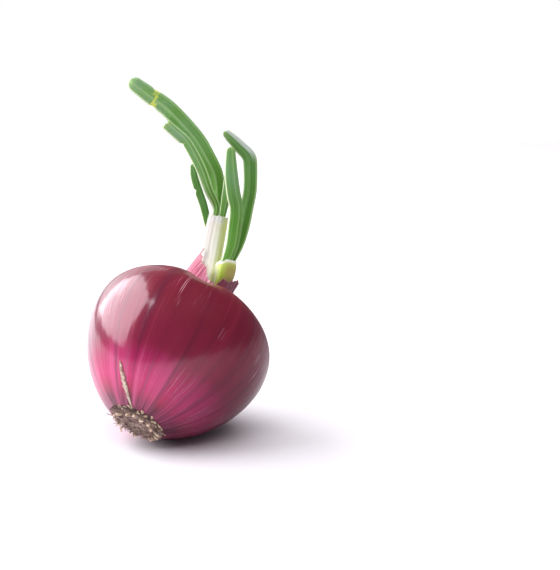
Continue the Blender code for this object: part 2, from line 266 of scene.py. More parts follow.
def new_group(name, inputs, output):
    """A shader group with its sockets, its two end nodes and a noise node."""
    group = bpy.data.node_groups.new(name, "ShaderNodeTree")
    for title, kind, value in inputs:
        socket = group.interface.new_socket(name=title, in_out="INPUT", socket_type=kind)
        if value is not None:
            socket.default_value = value
    group.interface.new_socket(name=output, in_out="OUTPUT", socket_type=FLOAT)
    start, end = group.nodes.new("NodeGroupInput"), group.nodes.new("NodeGroupOutput")
    return group, start, end, group.nodes.new("ShaderNodeTexNoise")


def cut_to_range(group, start, pattern, end):
    """Stretch the noise between Low and High out to 0 and 1."""
    cut = group.nodes.new("ShaderNodeMapRange")
    group.links.new(pattern.outputs["Fac"], cut.inputs["Value"])
    group.links.new(start.outputs["Low"], cut.inputs["From Min"])
    group.links.new(start.outputs["High"], cut.inputs["From Max"])
    group.links.new(cut.outputs["Result"], end.inputs[0])


def make_lines_group():
    """Lines along the grain: noise drawn out lengthwise, cut to a range."""
    group, start, end, pattern = new_group("lengthwise_lines", [
        ("Grain", VECTOR, None), ("Around", FLOAT, 10.0), ("Along", FLOAT, 1.0),
        ("Low", FLOAT, 0.4), ("High", FLOAT, 0.6)], "Lines")
    pattern.inputs["Scale"].default_value = 1.0
    pattern.inputs["Detail"].default_value = 3.0
    pattern.inputs["Roughness"].default_value = 0.55
    scale = group.nodes.new("ShaderNodeCombineXYZ")
    stretch = group.nodes.new("ShaderNodeVectorMath")
    stretch.operation = "MULTIPLY"
    link = group.links.new
    link(start.outputs["Around"], scale.inputs["X"])
    link(start.outputs["Around"], scale.inputs["Y"])
    link(start.outputs["Along"], scale.inputs["Z"])
    link(start.outputs["Grain"], stretch.inputs[0])
    link(scale.outputs["Vector"], stretch.inputs[1])
    link(stretch.outputs["Vector"], pattern.inputs["Vector"])
    cut_to_range(group, start, pattern, end)
    return group


def make_blotch_group():
    """Soft patches in space, the same size on every piece."""
    group, start, end, pattern = new_group("soft_blotches", [
        ("Place", VECTOR, None), ("Scale", FLOAT, 60.0),
        ("Low", FLOAT, 0.4), ("High", FLOAT, 0.6)], "Patches")
    pattern.inputs["Detail"].default_value = 4.0
    group.links.new(start.outputs["Place"], pattern.inputs["Vector"])
    group.links.new(start.outputs["Scale"], pattern.inputs["Scale"])
    cut_to_range(group, start, pattern, end)
    return group


LINES = make_lines_group()
BLOTCHES = make_blotch_group()
print("node groups:", LINES.name, BLOTCHES.name)

# %% [markdown]
# A material is then a short recipe: a base colour from a ramp along the piece,
# and layers of paint laid over it through masks. The class below keeps such a
# recipe readable. It remembers the colour so far, so each call to paint lays
# one more layer on it. A mask is a value from 0 to 1 that changes over the
# surface: curve makes one from a place on the piece, lines and blotches make
# one from noise, and both keeps only what two masks share.

# %% A recipe book for finishes
class Finish:
    def __init__(self, name, roughness, coat=0.0):
        self.material = bpy.data.materials.new(name)
        self.material.use_nodes = True
        self.tree = self.material.node_tree
        self.shader = self.tree.nodes["Principled BSDF"]
        self.set("Roughness", roughness)
        self.set("Coat Weight", coat)
        self.set("Coat Roughness", 0.12)
        self.grain = self.attribute("grain", "Vector")
        split = self.tree.nodes.new("ShaderNodeSeparateXYZ")
        self.tree.links.new(self.grain, split.inputs["Vector"])
        self.side, self.near, self.along = split.outputs
        self.place = self.tree.nodes.new("ShaderNodeTexCoord").outputs["Object"]
        self.colour = None

    def set(self, title, value):
        """Set a number that is the same all over the surface."""
        self.shader.inputs[title].default_value = value

    def attribute(self, name, output="Fac"):
        node = self.tree.nodes.new("ShaderNodeAttribute")
        node.attribute_name = name
        return node.outputs[output]

    def feed(self, slot, value):
        """Give an input a number, a colour or another node's output."""
        if isinstance(value, tuple):
            slot.default_value = (*value, 1.0)
        elif isinstance(value, (int, float)):
            slot.default_value = value
        else:
            self.tree.links.new(value, slot)

    def pattern(self, group, source, *values):
        node = self.tree.nodes.new("ShaderNodeGroup")
        node.node_tree = group
        for slot, value in zip(node.inputs, (source, *values)):
            self.feed(slot, value)
        return node.outputs[0]

    def lines(self, around, along, low, high):
        return self.pattern(LINES, self.grain, around, along, low, high)

    def blotches(self, scale, low, high):
        return self.pattern(BLOTCHES, self.place, scale, low, high)

    def curve(self, value, low, high, out_low=0.0, out_high=1.0):
        """A value taken from one range to another, and held at its ends."""
        node = self.tree.nodes.new("ShaderNodeMapRange")
        node.interpolation_type = "SMOOTHSTEP"
        for slot, number in zip(node.inputs, (value, low, high, out_low, out_high)):
            self.feed(slot, number)
        return node.outputs["Result"]

    def math(self, operation, first, second):
        node = self.tree.nodes.new("ShaderNodeMath")
        node.operation = operation
        node.use_clamp = operation in ("MULTIPLY", "ADD")
        self.feed(node.inputs[0], first)
        self.feed(node.inputs[1], second)
        return node.outputs["Value"]

    def both(self, first, second):
        return self.math("MULTIPLY", first, second)

    def size(self, value):
        return self.math("ABSOLUTE", value, 0)

    def ramp(self, value, stops):
        """Colours by a value: each stop is a position and a colour."""
        node = self.tree.nodes.new("ShaderNodeValToRGB")
        points = node.color_ramp.elements
        while len(points) < len(stops):
            points.new(0.5)
        for point, (position, colour) in zip(points, stops):
            point.position = position
            point.color = (*colour, 1.0)
        self.feed(node.inputs["Fac"], value)
        self.colour = node.outputs["Color"]

    def paint(self, over, mask, strength=None):
        """Lay a colour over what is there, through a mask."""
        node = self.tree.nodes.new("ShaderNodeMix")
        node.data_type = "RGBA"
        self.feed(node.inputs[0], mask if strength is None else self.both(mask, strength))
        self.feed(node.inputs[6], self.colour)
        self.feed(node.inputs[7], over)
        self.colour = node.outputs[2]

    def bump(self, height, distance, strength):
        node = self.tree.nodes.new("ShaderNodeBump")
        node.inputs["Distance"].default_value = distance
        node.inputs["Strength"].default_value = strength
        self.feed(node.inputs["Height"], height)
        self.feed(self.shader.inputs["Normal"], node.outputs["Normal"])

    def done(self, roughness=None):
        self.feed(self.shader.inputs["Base Color"], self.colour)
        if roughness is not None:
            self.feed(self.shader.inputs["Roughness"], roughness)
        print("finish", self.material.name, "has", len(self.tree.nodes), "nodes")
        return self.material

# %% [markdown]
# ## Tools for shapes
#
# Sheaths, leaves and roots are all tubes of changing section, so they share one
# tool. A route is a smooth curve through a few given stations, each with a
# place and a half width. A frame is a matrix that says where a ring goes on the
# route, how wide and how deep it is, and which way it faces.

# %% Routes and frames
FACING = Vector((0.0, -0.883, -0.469))
TIP_RINGS = 7
TIP_ARC = math.radians(84)


def smooth_route(stations, steps):
    """Read a smooth curve through given stations of any number of values."""
    points = [Vector(station) for station in stations]
    points.insert(0, points[0] * 2 - points[1])
    points.append(points[-1] * 2 - points[-2])
    route = []
    for before, start, end, after in zip(points, points[1:], points[2:], points[3:]):
        for step in range(steps):
            t = step / steps
            bend = (before * 2 - start * 5 + end * 4 - after) * t * t
            twist = (start * 3 - before - end * 3 + after) * t ** 3
            route.append((start * 2 + (end - before) * t + bend + twist) / 2)
    route.append(points[-2])
    return route


def ring_frames(route, flatness, facing=FACING):
    """Place a unit circle square to the route at each of its points."""
    frames = []
    for index, point in enumerate(route):
        before = route[max(index - 1, 0)].xyz
        after = route[min(index + 1, len(route) - 1)].xyz
        along = (after - before).normalized()
        across = along.cross(facing).normalized()
        depth = across.cross(along)
        width = point[3]
        ring = Matrix((across * width, depth * width * flatness, along)).transposed().to_4x4()
        ring.translation = point.xyz
        frames.append(ring)
    return frames


def rounded_tip(last_ring, length):
    """Rings that close the last ring over in a blunt round end."""
    rings = []
    for step in range(1, TIP_RINGS + 1):
        angle = TIP_ARC * step / TIP_RINGS
        shrink = Matrix.Diagonal((math.cos(angle), math.cos(angle), 1.0, 1.0))
        beyond = Matrix.Translation((0.0, 0.0, length * math.sin(angle)))
        rings.append(last_ring @ beyond @ shrink)
    return rings

# %% [markdown]
# The tool starts from a circle, extrudes its edge, and carries the new ring to
# the next frame along the route. As it grows, it writes the grain attribute: an
# extruded point keeps its place round the ring, and only its place along the
# piece is new. A section function may shape the first ring, and all the rings
# that grow from it have that shape too.

# %% The growing tube
def evenly(count, start=0.0, end=1.0):
    """Evenly spaced values, from a start to an end."""
    return [start + (end - start) * index / (count - 1) for index in range(count)]


def grown_ring(bm, ring):
    """Extrude an open loop of edges; give back the new edges and points."""
    grown = bmesh.ops.extrude_edge_only(bm, edges=ring)["geom"]
    edges = [part for part in grown if isinstance(part, bmesh.types.BMEdge) and part.is_boundary]
    return edges, list({vert for edge in edges for vert in edge.verts})


def grow_tube(bm, frames, sides, section, alongs):
    """Extrude a ring from frame to frame; section shapes the first ring."""
    grain = bm.verts.layers.float_vector.get("grain") or bm.verts.layers.float_vector.new("grain")
    start = bmesh.ops.create_circle(bm, cap_ends=False, segments=sides, radius=1.0)["verts"]
    for vert in start:
        vert[grain] = (vert.co.x, vert.co.y, alongs[0])
        if section:
            vert.co = section(math.atan2(vert.co.y, vert.co.x))
    bmesh.ops.transform(bm, matrix=frames[0], verts=start)
    first = list({edge for vert in start for edge in vert.link_edges})
    ring, rows = first, [start]
    for last, ahead, reach in zip(frames, frames[1:], alongs[1:]):
        ring, verts = grown_ring(bm, ring)
        bmesh.ops.transform(bm, matrix=ahead @ last.inverted(), verts=verts)
        for vert in verts:
            vert[grain] = (*vert[grain].xy, reach)
        rows.append(verts)
    bmesh.ops.edgeloop_fill(bm, edges=first)
    bmesh.ops.edgeloop_fill(bm, edges=ring)
    return rows


def rippled(ribs, depth):
    """A round section with fine ribs."""
    def section(angle):
        size = 1.0 + depth * math.cos(ribs * angle)
        return Vector((math.cos(angle) * size, math.sin(angle) * size, 0.0))
    return section

# %% [markdown]
# Two more helpers serve every piece. Noise gives the small unevenness that a
# grown thing has, the same on each run. And each finished mesh goes through
# one function, which leans it into place, smooths it except at sharp edges,
# hangs it on the root body and hides the frame's parts that it stands for.

# %% Turning a bmesh into a finished piece
made = []


def rough(x, y, z):
    """Smooth noise round zero at a place."""
    return noise.noise(Vector((x, y, z)))


def clamped(value):
    return max(0.0, min(1.0, value))


def add_piece(name, bm, place, material, stands_for, sharp=50):
    """Lean the mesh into place, hang it on the root body, hide the parts it replaces."""
    bmesh.ops.recalc_face_normals(bm, faces=bm.faces[:])
    bmesh.ops.transform(bm, matrix=place, verts=bm.verts[:])
    mesh = bpy.data.meshes.new(name)
    bm.to_mesh(mesh)
    bm.free()
    mesh.shade_smooth()
    mesh.set_sharp_from_angle(angle=math.radians(sharp))
    mesh.materials.append(material)
    piece = bpy.data.objects.new(name, mesh)
    bpy.context.scene.collection.objects.link(piece)
    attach(piece, "root")
    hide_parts(*stands_for)
    made.append(piece)
    print("%-18s %6d faces" % (name, len(mesh.polygons)))
    return piece

# %% [markdown]
# ## The bulb
#
# A bulb is a turned shape, so its outline is spun round the axis. Real bulbs
# are never quite round: the skin has shallow lobes where the scales overlap,
# and fine ribs that run from root to neck. A few sines do for the lobes, and
# noise on the direction round the bulb does for the ribs. On its near side the
# shoulder sags a little towards the neck.

# %% Bulb outline
BULB_TURNS = 224
BULB_ROWS_CROWN = 56
BULB_ROWS_BASE = 84


def bulb_outline():
    """From the neck's seat over the crown and down to the root recess."""
    crown = rounded_side(NECK_RADIUS, CROWN_HEIGHT, CROWN_FULLNESS, BULB_ROWS_CROWN, 1)
    base = rounded_side(PLATE_RADIUS + GAP, BASE_HEIGHT, BASE_FULLNESS, BULB_ROWS_BASE, -1)
    seat = [(0.0006, SEAT_HEIGHT), (0.0060, SEAT_HEIGHT), (0.0100, SEAT_HEIGHT + 0.0002)]
    recess = [(PLATE_RADIUS - 0.0012, ROOT_RIM + 0.0010), (0.0060, ROOT_RIM + 0.0014),
              (0.0006, ROOT_RIM + 0.0014)]
    return seat + crown + [(BULB_RADIUS, 0.0)] + base[::-1] + recess


def spin_outline(bm, outline, turns):
    """Spin an outline of radii and heights once round the axis."""
    verts = [bm.verts.new((radius, 0.0, height)) for radius, height in outline]
    edges = [bm.edges.new(pair) for pair in zip(verts, verts[1:])]
    bmesh.ops.spin(bm, geom=verts + edges, cent=(0, 0, 0), axis=(0, 0, 1), angle=math.tau,
                   steps=turns, use_merge=True)


def fill_holes(bm):
    bmesh.ops.edgeloop_fill(bm, edges=[edge for edge in bm.edges if edge.is_boundary])


print("outline has", len(bulb_outline()), "points")

# %% [markdown]
# The unevenness is kept in small functions of the angle round the bulb and the
# share of the way from root to crown, so that a piece that lies on the skin can
# follow it too.

# %% Lobes, ribs and the sagging shoulder
LOBE = 0.003
RIB = 0.00009
RIBS_AROUND = 26
RIBS_ALONG = 1.2
SADDLE_ANGLE = 95
SADDLE_WIDTH = 15
SADDLE_DEPTH = 0.0023
SADDLE_FROM = (0.0130, 0.0200)
SADDLE_TO = (0.0375, 0.0300)


def share_along(height):
    """How far a height is from the root's rim, 0, to the crown, 1."""
    return clamped((height - ROOT_RIM) / (CROWN_HEIGHT - ROOT_RIM))


def lobes(angle, share):
    """How far the bulb swells or dips: broad lobes, fading out at both ends."""
    swell = math.sin(2 * angle + 0.6) + 0.6 * math.sin(3 * angle + 2.1)
    swell += 0.35 * math.sin(5 * angle + 4.0)
    return LOBE * swell * math.sin(math.pi * share)


def smooth(value, low, high):
    """Ease from 0 to 1 while the value goes from low to high."""
    t = clamped((value - low) / (high - low))
    return t * t * (3 - 2 * t)


def saddle(angle, radius, height):
    """The shoulder sags towards the neck on its near side."""
    if height < 0:
        return 0.0
    across = math.exp(-((math.degrees(angle) + SADDLE_ANGLE) / SADDLE_WIDTH) ** 2)
    return -SADDLE_DEPTH * across * smooth(radius, *SADDLE_FROM) * smooth(radius, *SADDLE_TO)


sag = saddle(math.radians(-SADDLE_ANGLE), SADDLE_FROM[1], CROWN_HEIGHT)
print("the shoulder sags by up to %.1f mm" % (-1000 * sag))

# %% [markdown]
# The spun mesh is reshaped point by point, and its open ends are filled. The
# last step cuts the underside level where the bulb rests: the floor's plane is
# brought back into the upright bulb, and bisect cuts along it.

# %% Bulb mesh
def cut_level(bm):
    """Cut off what would be below the floor, and fill the cut."""
    back = AXIS.inverted()
    bmesh.ops.bisect_plane(bm, geom=bm.verts[:] + bm.edges[:] + bm.faces[:], dist=1e-7,
                           plane_co=back @ Vector((0, 0, 0)),
                           plane_no=back.to_3x3() @ Vector((0, 0, 1)), clear_inner=True)
    fill_holes(bm)


def make_bulb(material):
    bm = bmesh.new()
    grain = bm.verts.layers.float_vector.new("grain")
    spin_outline(bm, bulb_outline(), BULB_TURNS)
    for vert in bm.verts:
        share = share_along(vert.co.z)
        angle = math.atan2(vert.co.y, vert.co.x)
        out = Vector((math.cos(angle), math.sin(angle), 0.0))
        vert[grain] = (out.x, out.y, share)
        ribs = rough(out.x * RIBS_AROUND, out.y * RIBS_AROUND, share * RIBS_ALONG)
        sag = saddle(angle, vert.co.xy.length, vert.co.z)
        scale = 1.0 + lobes(angle, share)
        vert.co = Vector((vert.co.x * scale, vert.co.y * scale, vert.co.z + sag))
        vert.co += out * RIB * ribs * math.sin(math.pi * share)
    fill_holes(bm)
    bmesh.ops.recalc_face_normals(bm, faces=bm.faces[:])
    cut_level(bm)
    return add_piece("bulb_skin", bm, AXIS, material, ["bulb"])

# %% [markdown]
# The skin's colour is laid down in the order that it has on the plant: a ramp
# from the root end through magenta to deep wine red at the crown, then broad
# pale streaks that fan out from the root, then fine veins and darker bands, and
# a few bright hairlines where the dry skin is scuffed. Round the neck it flakes
# to brown. Two layers are painted shade: the ramp starts dark at the root end,
# where the skin dips into the recess round the disc, and the right side is
# painted darker. The gloss is a clear coat, which fades towards the dry neck,
# near the root and on the right, where the skin is dull.

# %% Skin finish
def skin_finish():
    skin = Finish("skin", 0.30, coat=0.72)
    skin.set("Metallic", 0.14)
    skin.set("Specular IOR Level", 0.25)
    skin.set("Coat Roughness", 0.13)
    skin.set("Coat IOR", 1.62)
    # The first stops are painted shade: the root end is dark where the skin dips into the recess
    # round the disc.
    skin.ramp(skin.along, [
        (0.00, (0.07, 0.005, 0.020)), (0.03, (0.12, 0.007, 0.030)), (0.075, (0.43, 0.015, 0.086)),
        (0.12, (0.54, 0.019, 0.134)), (0.22, (0.385, 0.012, 0.088)), (0.30, (0.24, 0.009, 0.045)),
        (0.55, (0.20, 0.010, 0.030)), (0.80, (0.20, 0.012, 0.030)), (0.92, (0.24, 0.022, 0.036)),
        (1.00, (0.32, 0.080, 0.080))])
    low = skin.curve(skin.along, 0.34, 0.10)
    broad = skin.both(skin.lines(3.6, 0.8, 0.46, 0.66), low)
    skin.paint((0.66, 0.085, 0.25), broad, 0.60)
    veins = skin.lines(18.0, 0.9, 0.50, 0.72)
    skin.paint((0.80, 0.17, 0.38), skin.both(veins, low), 0.70)
    skin.paint((0.38, 0.030, 0.070), veins, 0.34)
    dark = skin.lines(9.0, 0.7, 0.50, 0.70)
    skin.paint((0.09, 0.004, 0.026), dark, 0.65)
    patches = skin.blotches(30.0, 0.46, 0.70)
    skin.paint((0.13, 0.005, 0.026), patches, 0.40)
    # Painted shade: the right side of the skin is painted darker.
    painted_shade_skin_right = skin.curve(skin.side, 0.30, 0.95)
    skin.paint((0.060, 0.007, 0.028), painted_shade_skin_right, 0.50)
    scuffs = skin.both(skin.lines(120.0, 2.2, 0.63, 0.69), skin.blotches(48.0, 0.55, 0.61))
    skin.paint((0.85, 0.50, 0.58), scuffs, 0.70)
    crown = skin.curve(skin.along, 0.79, 0.93)
    flakes = skin.both(skin.lines(42.0, 2.2, 0.50, 0.62), skin.blotches(260.0, 0.46, 0.62))
    skin.paint((0.54, 0.34, 0.22), skin.both(flakes, crown), 0.55)
    roughness = skin.curve(skin.along, 0.62, 0.84, 0.30, 0.55)
    dull = skin.curve(skin.side, 0.05, 0.70, 1.0, 0.12)
    dry = skin.curve(skin.along, 0.60, 0.82, 1.0, 0.30)
    rooty = skin.curve(skin.along, 0.12, 0.38, 0.42, 1.0)
    gloss = skin.both(skin.both(dry, dull), rooty)
    skin.feed(skin.shader.inputs["Coat Weight"], gloss)
    skin.bump(skin.lines(40.0, 0.8, 0.3, 0.7), 0.00012, 0.45)
    return skin.done(roughness)


make_bulb(skin_finish())

# %% [markdown]
# ## A dry split in the skin
#
# Low on the left, the outer skin once split lengthwise and healed to a dry,
# beige scar that runs into the root end. It is a thin patch of its own: a grid
# laid over the bulb's surface, widest in its middle, slightly raised, with its
# edge tucked under the skin. Its path is a few stations, each with its share
# of the way from root to crown and its angle round the bulb.

# %% The split
SPLIT_PATH = [(0.176, -127.5), (0.129, -125.1), (0.085, -121.9), (0.051, -118.4),
              (0.018, -113.4), (0.002, -108.5)]
SPLIT_HALF = 0.00115
SPLIT_LEAST = 0.00005
SPLIT_TUCK = 0.00012
SPLIT_RISE = 0.00030
SPLIT_WEAR = 0.55
SPLIT_WALL = 0.0003


def base_radius(height):
    """Radius of the bulb's lower half at this height, before its lobes."""
    return BULB_RADIUS * (1 - (abs(height) / BASE_HEIGHT) ** BASE_FULLNESS) ** (1 / BASE_FULLNESS)


def on_skin(angle, height, lift):
    """A point on the bulb's lower half, raised square to its slope there."""
    radius = base_radius(height) * (1.0 + lobes(angle, share_along(height))) + lift * 0.75
    return Vector((radius * math.cos(angle), radius * math.sin(angle), height - lift * 0.66))


def path_angle(share):
    """Angle of the split's path at a share of the way up the bulb."""
    for (high, first), (low, second) in zip(SPLIT_PATH, SPLIT_PATH[1:]):
        if share >= low:
            return math.radians(first + (second - first) * (high - share) / (high - low))
    return math.radians(SPLIT_PATH[-1][1])


def make_split(material):
    bm = bmesh.new()
    grain = bm.verts.layers.float_vector.new("grain")
    bmesh.ops.create_grid(bm, x_segments=14, y_segments=110, size=1.0)
    top, end = SPLIT_PATH[0][0], SPLIT_PATH[-1][0]
    for vert in bm.verts:
        x, t = vert.co.x, (1 - vert.co.y) / 2
        share = top + (end - top) * t
        height = ROOT_RIM + share * (CROWN_HEIGHT - ROOT_RIM)
        half = SPLIT_HALF * math.sin(math.pi * min(1.0, 0.10 + 0.80 * t)) ** 1.3
        half *= 1.0 + SPLIT_WEAR * rough(9.0, 2.0 * (x > 0), t * 14)
        angle = path_angle(share) + x * max(half, SPLIT_LEAST) / base_radius(height)
        lift = SPLIT_RISE * (1 - x * x) * min(1.0, half / SPLIT_HALF) - SPLIT_TUCK
        lift += SPLIT_TUCK * rough(x * 3, t * 30, 2.0)
        vert[grain] = (x, 0.0, t)
        vert.co = on_skin(angle, height, lift)
    bmesh.ops.recalc_face_normals(bm, faces=bm.faces[:])
    bmesh.ops.solidify(bm, geom=bm.faces[:], thickness=SPLIT_WALL)
    return add_piece("skin_split", bm, AXIS, material, ["bulb"])

# %% [markdown]
# Dry skin is matt and patchy. Blotches of noise give beige and brown, the
# middle of the scar is paler, and its edges are dark red where they tuck in
# under the living skin.

# %% Split finish
def split_finish():
    scar = Finish("scar", 0.75)
    scar.ramp(scar.blotches(800.0, 0.30, 0.70), [
        (0.0, (0.27, 0.14, 0.11)), (0.45, (0.46, 0.32, 0.24)), (1.0, (0.74, 0.62, 0.50))])
    off_middle = scar.size(scar.side)
    middle = scar.both(scar.curve(off_middle, 0.55, 0.10), scar.curve(scar.along, 0.15, 0.45))
    scar.paint((0.92, 0.86, 0.76), middle, 0.30)
    edge = scar.curve(off_middle, 0.55, 0.90)
    scar.paint((0.24, 0.07, 0.07), edge, 0.8)
    scar.bump(scar.blotches(1500.0, 0.3, 0.7), 0.0001, 0.7)
    return scar.done()


make_split(split_finish())

# %% [markdown]
# ## The dry collar
#
# Where the bulb's outer skin ends, it stands up round the sprouts as a dry,
# papery collar with a torn rim. Its layout is a list of stations round the
# neck: how high the rim is there, how wide, and how far the side bellies out.
# The skirt starts on the bulb's own surface, so the shoulder runs up into it.
# Pleats grow stronger towards the rim, where the skin has dried and shrunk.

# %% Collar stations
COLLAR_COLUMNS = 240
COLLAR_ROWS = 26
COLLAR_FOOT = 0.0132
COLLAR_WALL = 0.00022
PLEAT = 0.00042
COLLAR = [
    # degrees round the neck, rim height, rim radius, belly
    (0, 0.0140, 0.0104, -0.0009), (45, 0.0105, 0.0102, -0.0009), (90, 0.0090, 0.0100, -0.0009),
    (140, 0.0125, 0.0112, 0.0000), (165, 0.0168, 0.0108, 0.0008), (180, 0.0204, 0.0103, 0.0009),
    (192, 0.0178, 0.0100, 0.0008), (213, 0.0147, 0.0096, 0.0003), (240, 0.0096, 0.0094, -0.0004),
    (262, 0.0044, 0.0092, -0.0008), (284, 0.0040, 0.0093, -0.0009), (292, 0.0072, 0.0098, -0.0009),
    (306, 0.0088, 0.0101, -0.0009), (323, 0.0108, 0.0103, -0.0009), (340, 0.0132, 0.0104, -0.0009),
]


def collar_at(degrees):
    """Rim height, rim radius and belly of the collar at any angle round it."""
    stations = COLLAR + [(COLLAR[0][0] + 360, *COLLAR[0][1:])]
    for low, high in zip(stations, stations[1:]):
        if low[0] <= degrees <= high[0]:
            t = (degrees - low[0]) / (high[0] - low[0])
            return [a + (b - a) * t for a, b in zip(low[1:], high[1:])]


def pleats(angle, t):
    """Folds of the dry skin: several wave lengths, stronger near the rim."""
    folds = math.sin(19 * angle + 1.3 * math.sin(3 * angle)) + 0.6 * math.sin(31 * angle + 2.0)
    fine = rough(math.cos(angle) * 14, math.sin(angle) * 14, t * 1.5)
    return PLEAT * (0.45 * folds + 0.9 * fine) * t ** 0.8


rims = [1000 * station[1] for station in COLLAR]
print("collar rim from %.1f to %.1f mm above the seat" % (min(rims), max(rims)))

# %% [markdown]
# A circle of points is extruded row by row, and each row is then set to its
# place between the foot and the torn rim. Solidify gives the paper its wall.

# %% Collar mesh
FOOT_LIFT = 0.00004
RIM_WAVES = 0.20
RIM_TEETH = 0.12


def make_collar(material):
    bm = bmesh.new()
    grain = bm.verts.layers.float_vector.new("grain")
    bmesh.ops.create_circle(bm, segments=COLLAR_COLUMNS, radius=1.0)
    ring, rows = bm.edges[:], [bm.verts[:]]
    for _ in range(COLLAR_ROWS):
        ring, verts = grown_ring(bm, ring)
        rows.append(verts)
    foot = end_height(COLLAR_FOOT, CROWN_HEIGHT, CROWN_FULLNESS) - SEAT_HEIGHT + FOOT_LIFT
    for row, verts in enumerate(rows):
        t = row / COLLAR_ROWS
        for vert in verts:
            angle = math.atan2(vert.co.y, vert.co.x)
            x, y = math.cos(angle), math.sin(angle)
            height, radius, belly = collar_at(math.degrees(angle) % 360)
            place = Vector((x, y, 5.0))
            height *= 1.0 + RIM_WAVES * rough(*place * 4.0) + RIM_TEETH * rough(*place * 17.0)
            out = COLLAR_FOOT + (radius - COLLAR_FOOT) * t ** 0.45
            out += belly * math.sin(math.pi * t) + pleats(angle, t)
            vert[grain] = (x, y, t)
            vert.co = (out * x, out * y, foot + (height - foot) * t ** 1.15)
    bmesh.ops.recalc_face_normals(bm, faces=bm.faces[:])
    bmesh.ops.solidify(bm, geom=bm.faces[:], thickness=COLLAR_WALL)
    return add_piece("neck_paper", bm, SEAT, material, ["neck_skin"], 80)

# %% [markdown]
# The collar is dark where it leaves the bulb and turns pink as it thins. Its
# pleats catch the light as pale lines with deep red veins between them. Its
# right side is painted darker, as painted shade, the left flap is a fuller red,
# and the torn rim a dry brown.

# %% Collar finish
def paper_finish():
    paper = Finish("paper", 0.42, coat=0.15)
    paper.ramp(paper.along, [
        (0.00, (0.25, 0.020, 0.045)), (0.12, (0.36, 0.045, 0.085)), (0.35, (0.60, 0.14, 0.24)),
        (0.75, (0.74, 0.25, 0.36)), (1.00, (0.80, 0.40, 0.46))])
    folds = paper.lines(22.0, 1.2, 0.46, 0.60)
    paper.paint((0.92, 0.62, 0.70), folds, 0.75)
    veins = paper.lines(34.0, 1.5, 0.52, 0.66)
    paper.paint((0.42, 0.03, 0.12), veins, 0.80)
    # Painted shade: the right side of the collar is painted dark wine.
    painted_shade_collar_right = paper.curve(paper.side, -0.15, 0.35)
    paper.paint((0.150, 0.008, 0.030), painted_shade_collar_right, 0.90)
    left = paper.curve(paper.side, -0.10, -0.70)
    paper.paint((0.40, 0.060, 0.115), left, 0.70)
    rim = paper.curve(paper.along, 0.93, 1.0)
    paper.paint((0.55, 0.33, 0.22), rim, 0.45)
    paper.bump(paper.lines(40.0, 1.2, 0.3, 0.7), 0.00015, 0.7)
    return paper.done()


make_collar(paper_finish())

# %% [markdown]
# ## The white sheath
#
# The sheath is the pale base of the first leaf: a tube that grows out of the
# neck and ends in a thin, torn rim, with the younger leaves inside. The outer
# wall goes up one side of the tube and the lining comes back down the other
# side, as one swept piece. At the mouth each point slides along the tube by a
# little noise, which tears the rim.

# %% Open tubes with a torn rim
TUBE_STEPS = 9
TEAR_REACH = 5.0


def narrowed(route, wall):
    """The same route with its half width cut down by a wall."""
    return [Vector((*point.xyz, point[3] - wall)) for point in route]


def torn(angle, seed):
    """Uneven tear round a rim: broad steps with fine teeth on them."""
    place = Vector((math.cos(angle), math.sin(angle), seed))
    return rough(*place * 2.1) + 0.45 * rough(*place * 7.0)


def tear_rim(bm, rows, frames, mouth, depth, seed):
    """Slide the rings near a mouth along the tube, unevenly round it."""
    grain = bm.verts.layers.float_vector["grain"]
    for index, verts in enumerate(rows):
        nearness = max(0.0, 1.0 - abs(index - mouth) / TEAR_REACH)
        along = frames[index].col[2].xyz.normalized()
        for vert in verts:
            angle = math.atan2(vert[grain].y, vert[grain].x)
            vert.co += along * depth * torn(angle, seed) * nearness


def open_tube(bm, stations, flatness, cavity, wall, sides, section, lining_from):
    """Sweep up the outside of a tube and back down the lining of its mouth."""
    route = smooth_route(stations, TUBE_STEPS)
    outer = ring_frames(route, flatness)
    first_open = round(len(route) * (1 - cavity))
    lining = ring_frames(narrowed(route[first_open:], wall), flatness)[::-1]
    inside = [lining_from + index / len(lining) for index in range(len(lining))]
    rows = grow_tube(bm, outer + lining, sides, section, evenly(len(outer)) + inside)
    return rows, outer + lining, len(outer) - 0.5

# %% [markdown]
# The sheath's route leans over a little more at each station, and its section
# is almost round, with fine ribs. It is thin-walled: less than half a
# millimetre at the mouth.

# %% Sheath mesh
SHEATH_WALL = 0.0004
SHEATH_CAVITY = 0.42
SHEATH_FLATNESS = 0.96
SHEATH_TEAR = 0.0011
SHEATH = [
    # place from the neck's seat, then half width
    (-0.0021, 0.0000, 0.0005, 0.0031), (-0.0021, 0.0000, 0.0040, 0.0033),
    (-0.0033, 0.0012, 0.0116, 0.0037), (-0.0042, 0.0030, 0.0159, 0.0042),
    (-0.0056, 0.0036, 0.0210, 0.0046), (-0.0077, 0.0029, 0.0277, 0.0047),
    (-0.0094, 0.0016, 0.0334, 0.0046), (-0.0110, -0.0006, 0.0385, 0.0043),
]


def make_sheath(material):
    bm = bmesh.new()
    rows, frames, mouth = open_tube(bm, SHEATH, SHEATH_FLATNESS, SHEATH_CAVITY,
                                    SHEATH_WALL * 0.7, 96, rippled(16, 0.012), 1.0)
    tear_rim(bm, rows, frames, mouth, SHEATH_TEAR, 3.0)
    return add_piece("sheath_tube", bm, SEAT, material, ["white_sheath"], 60)
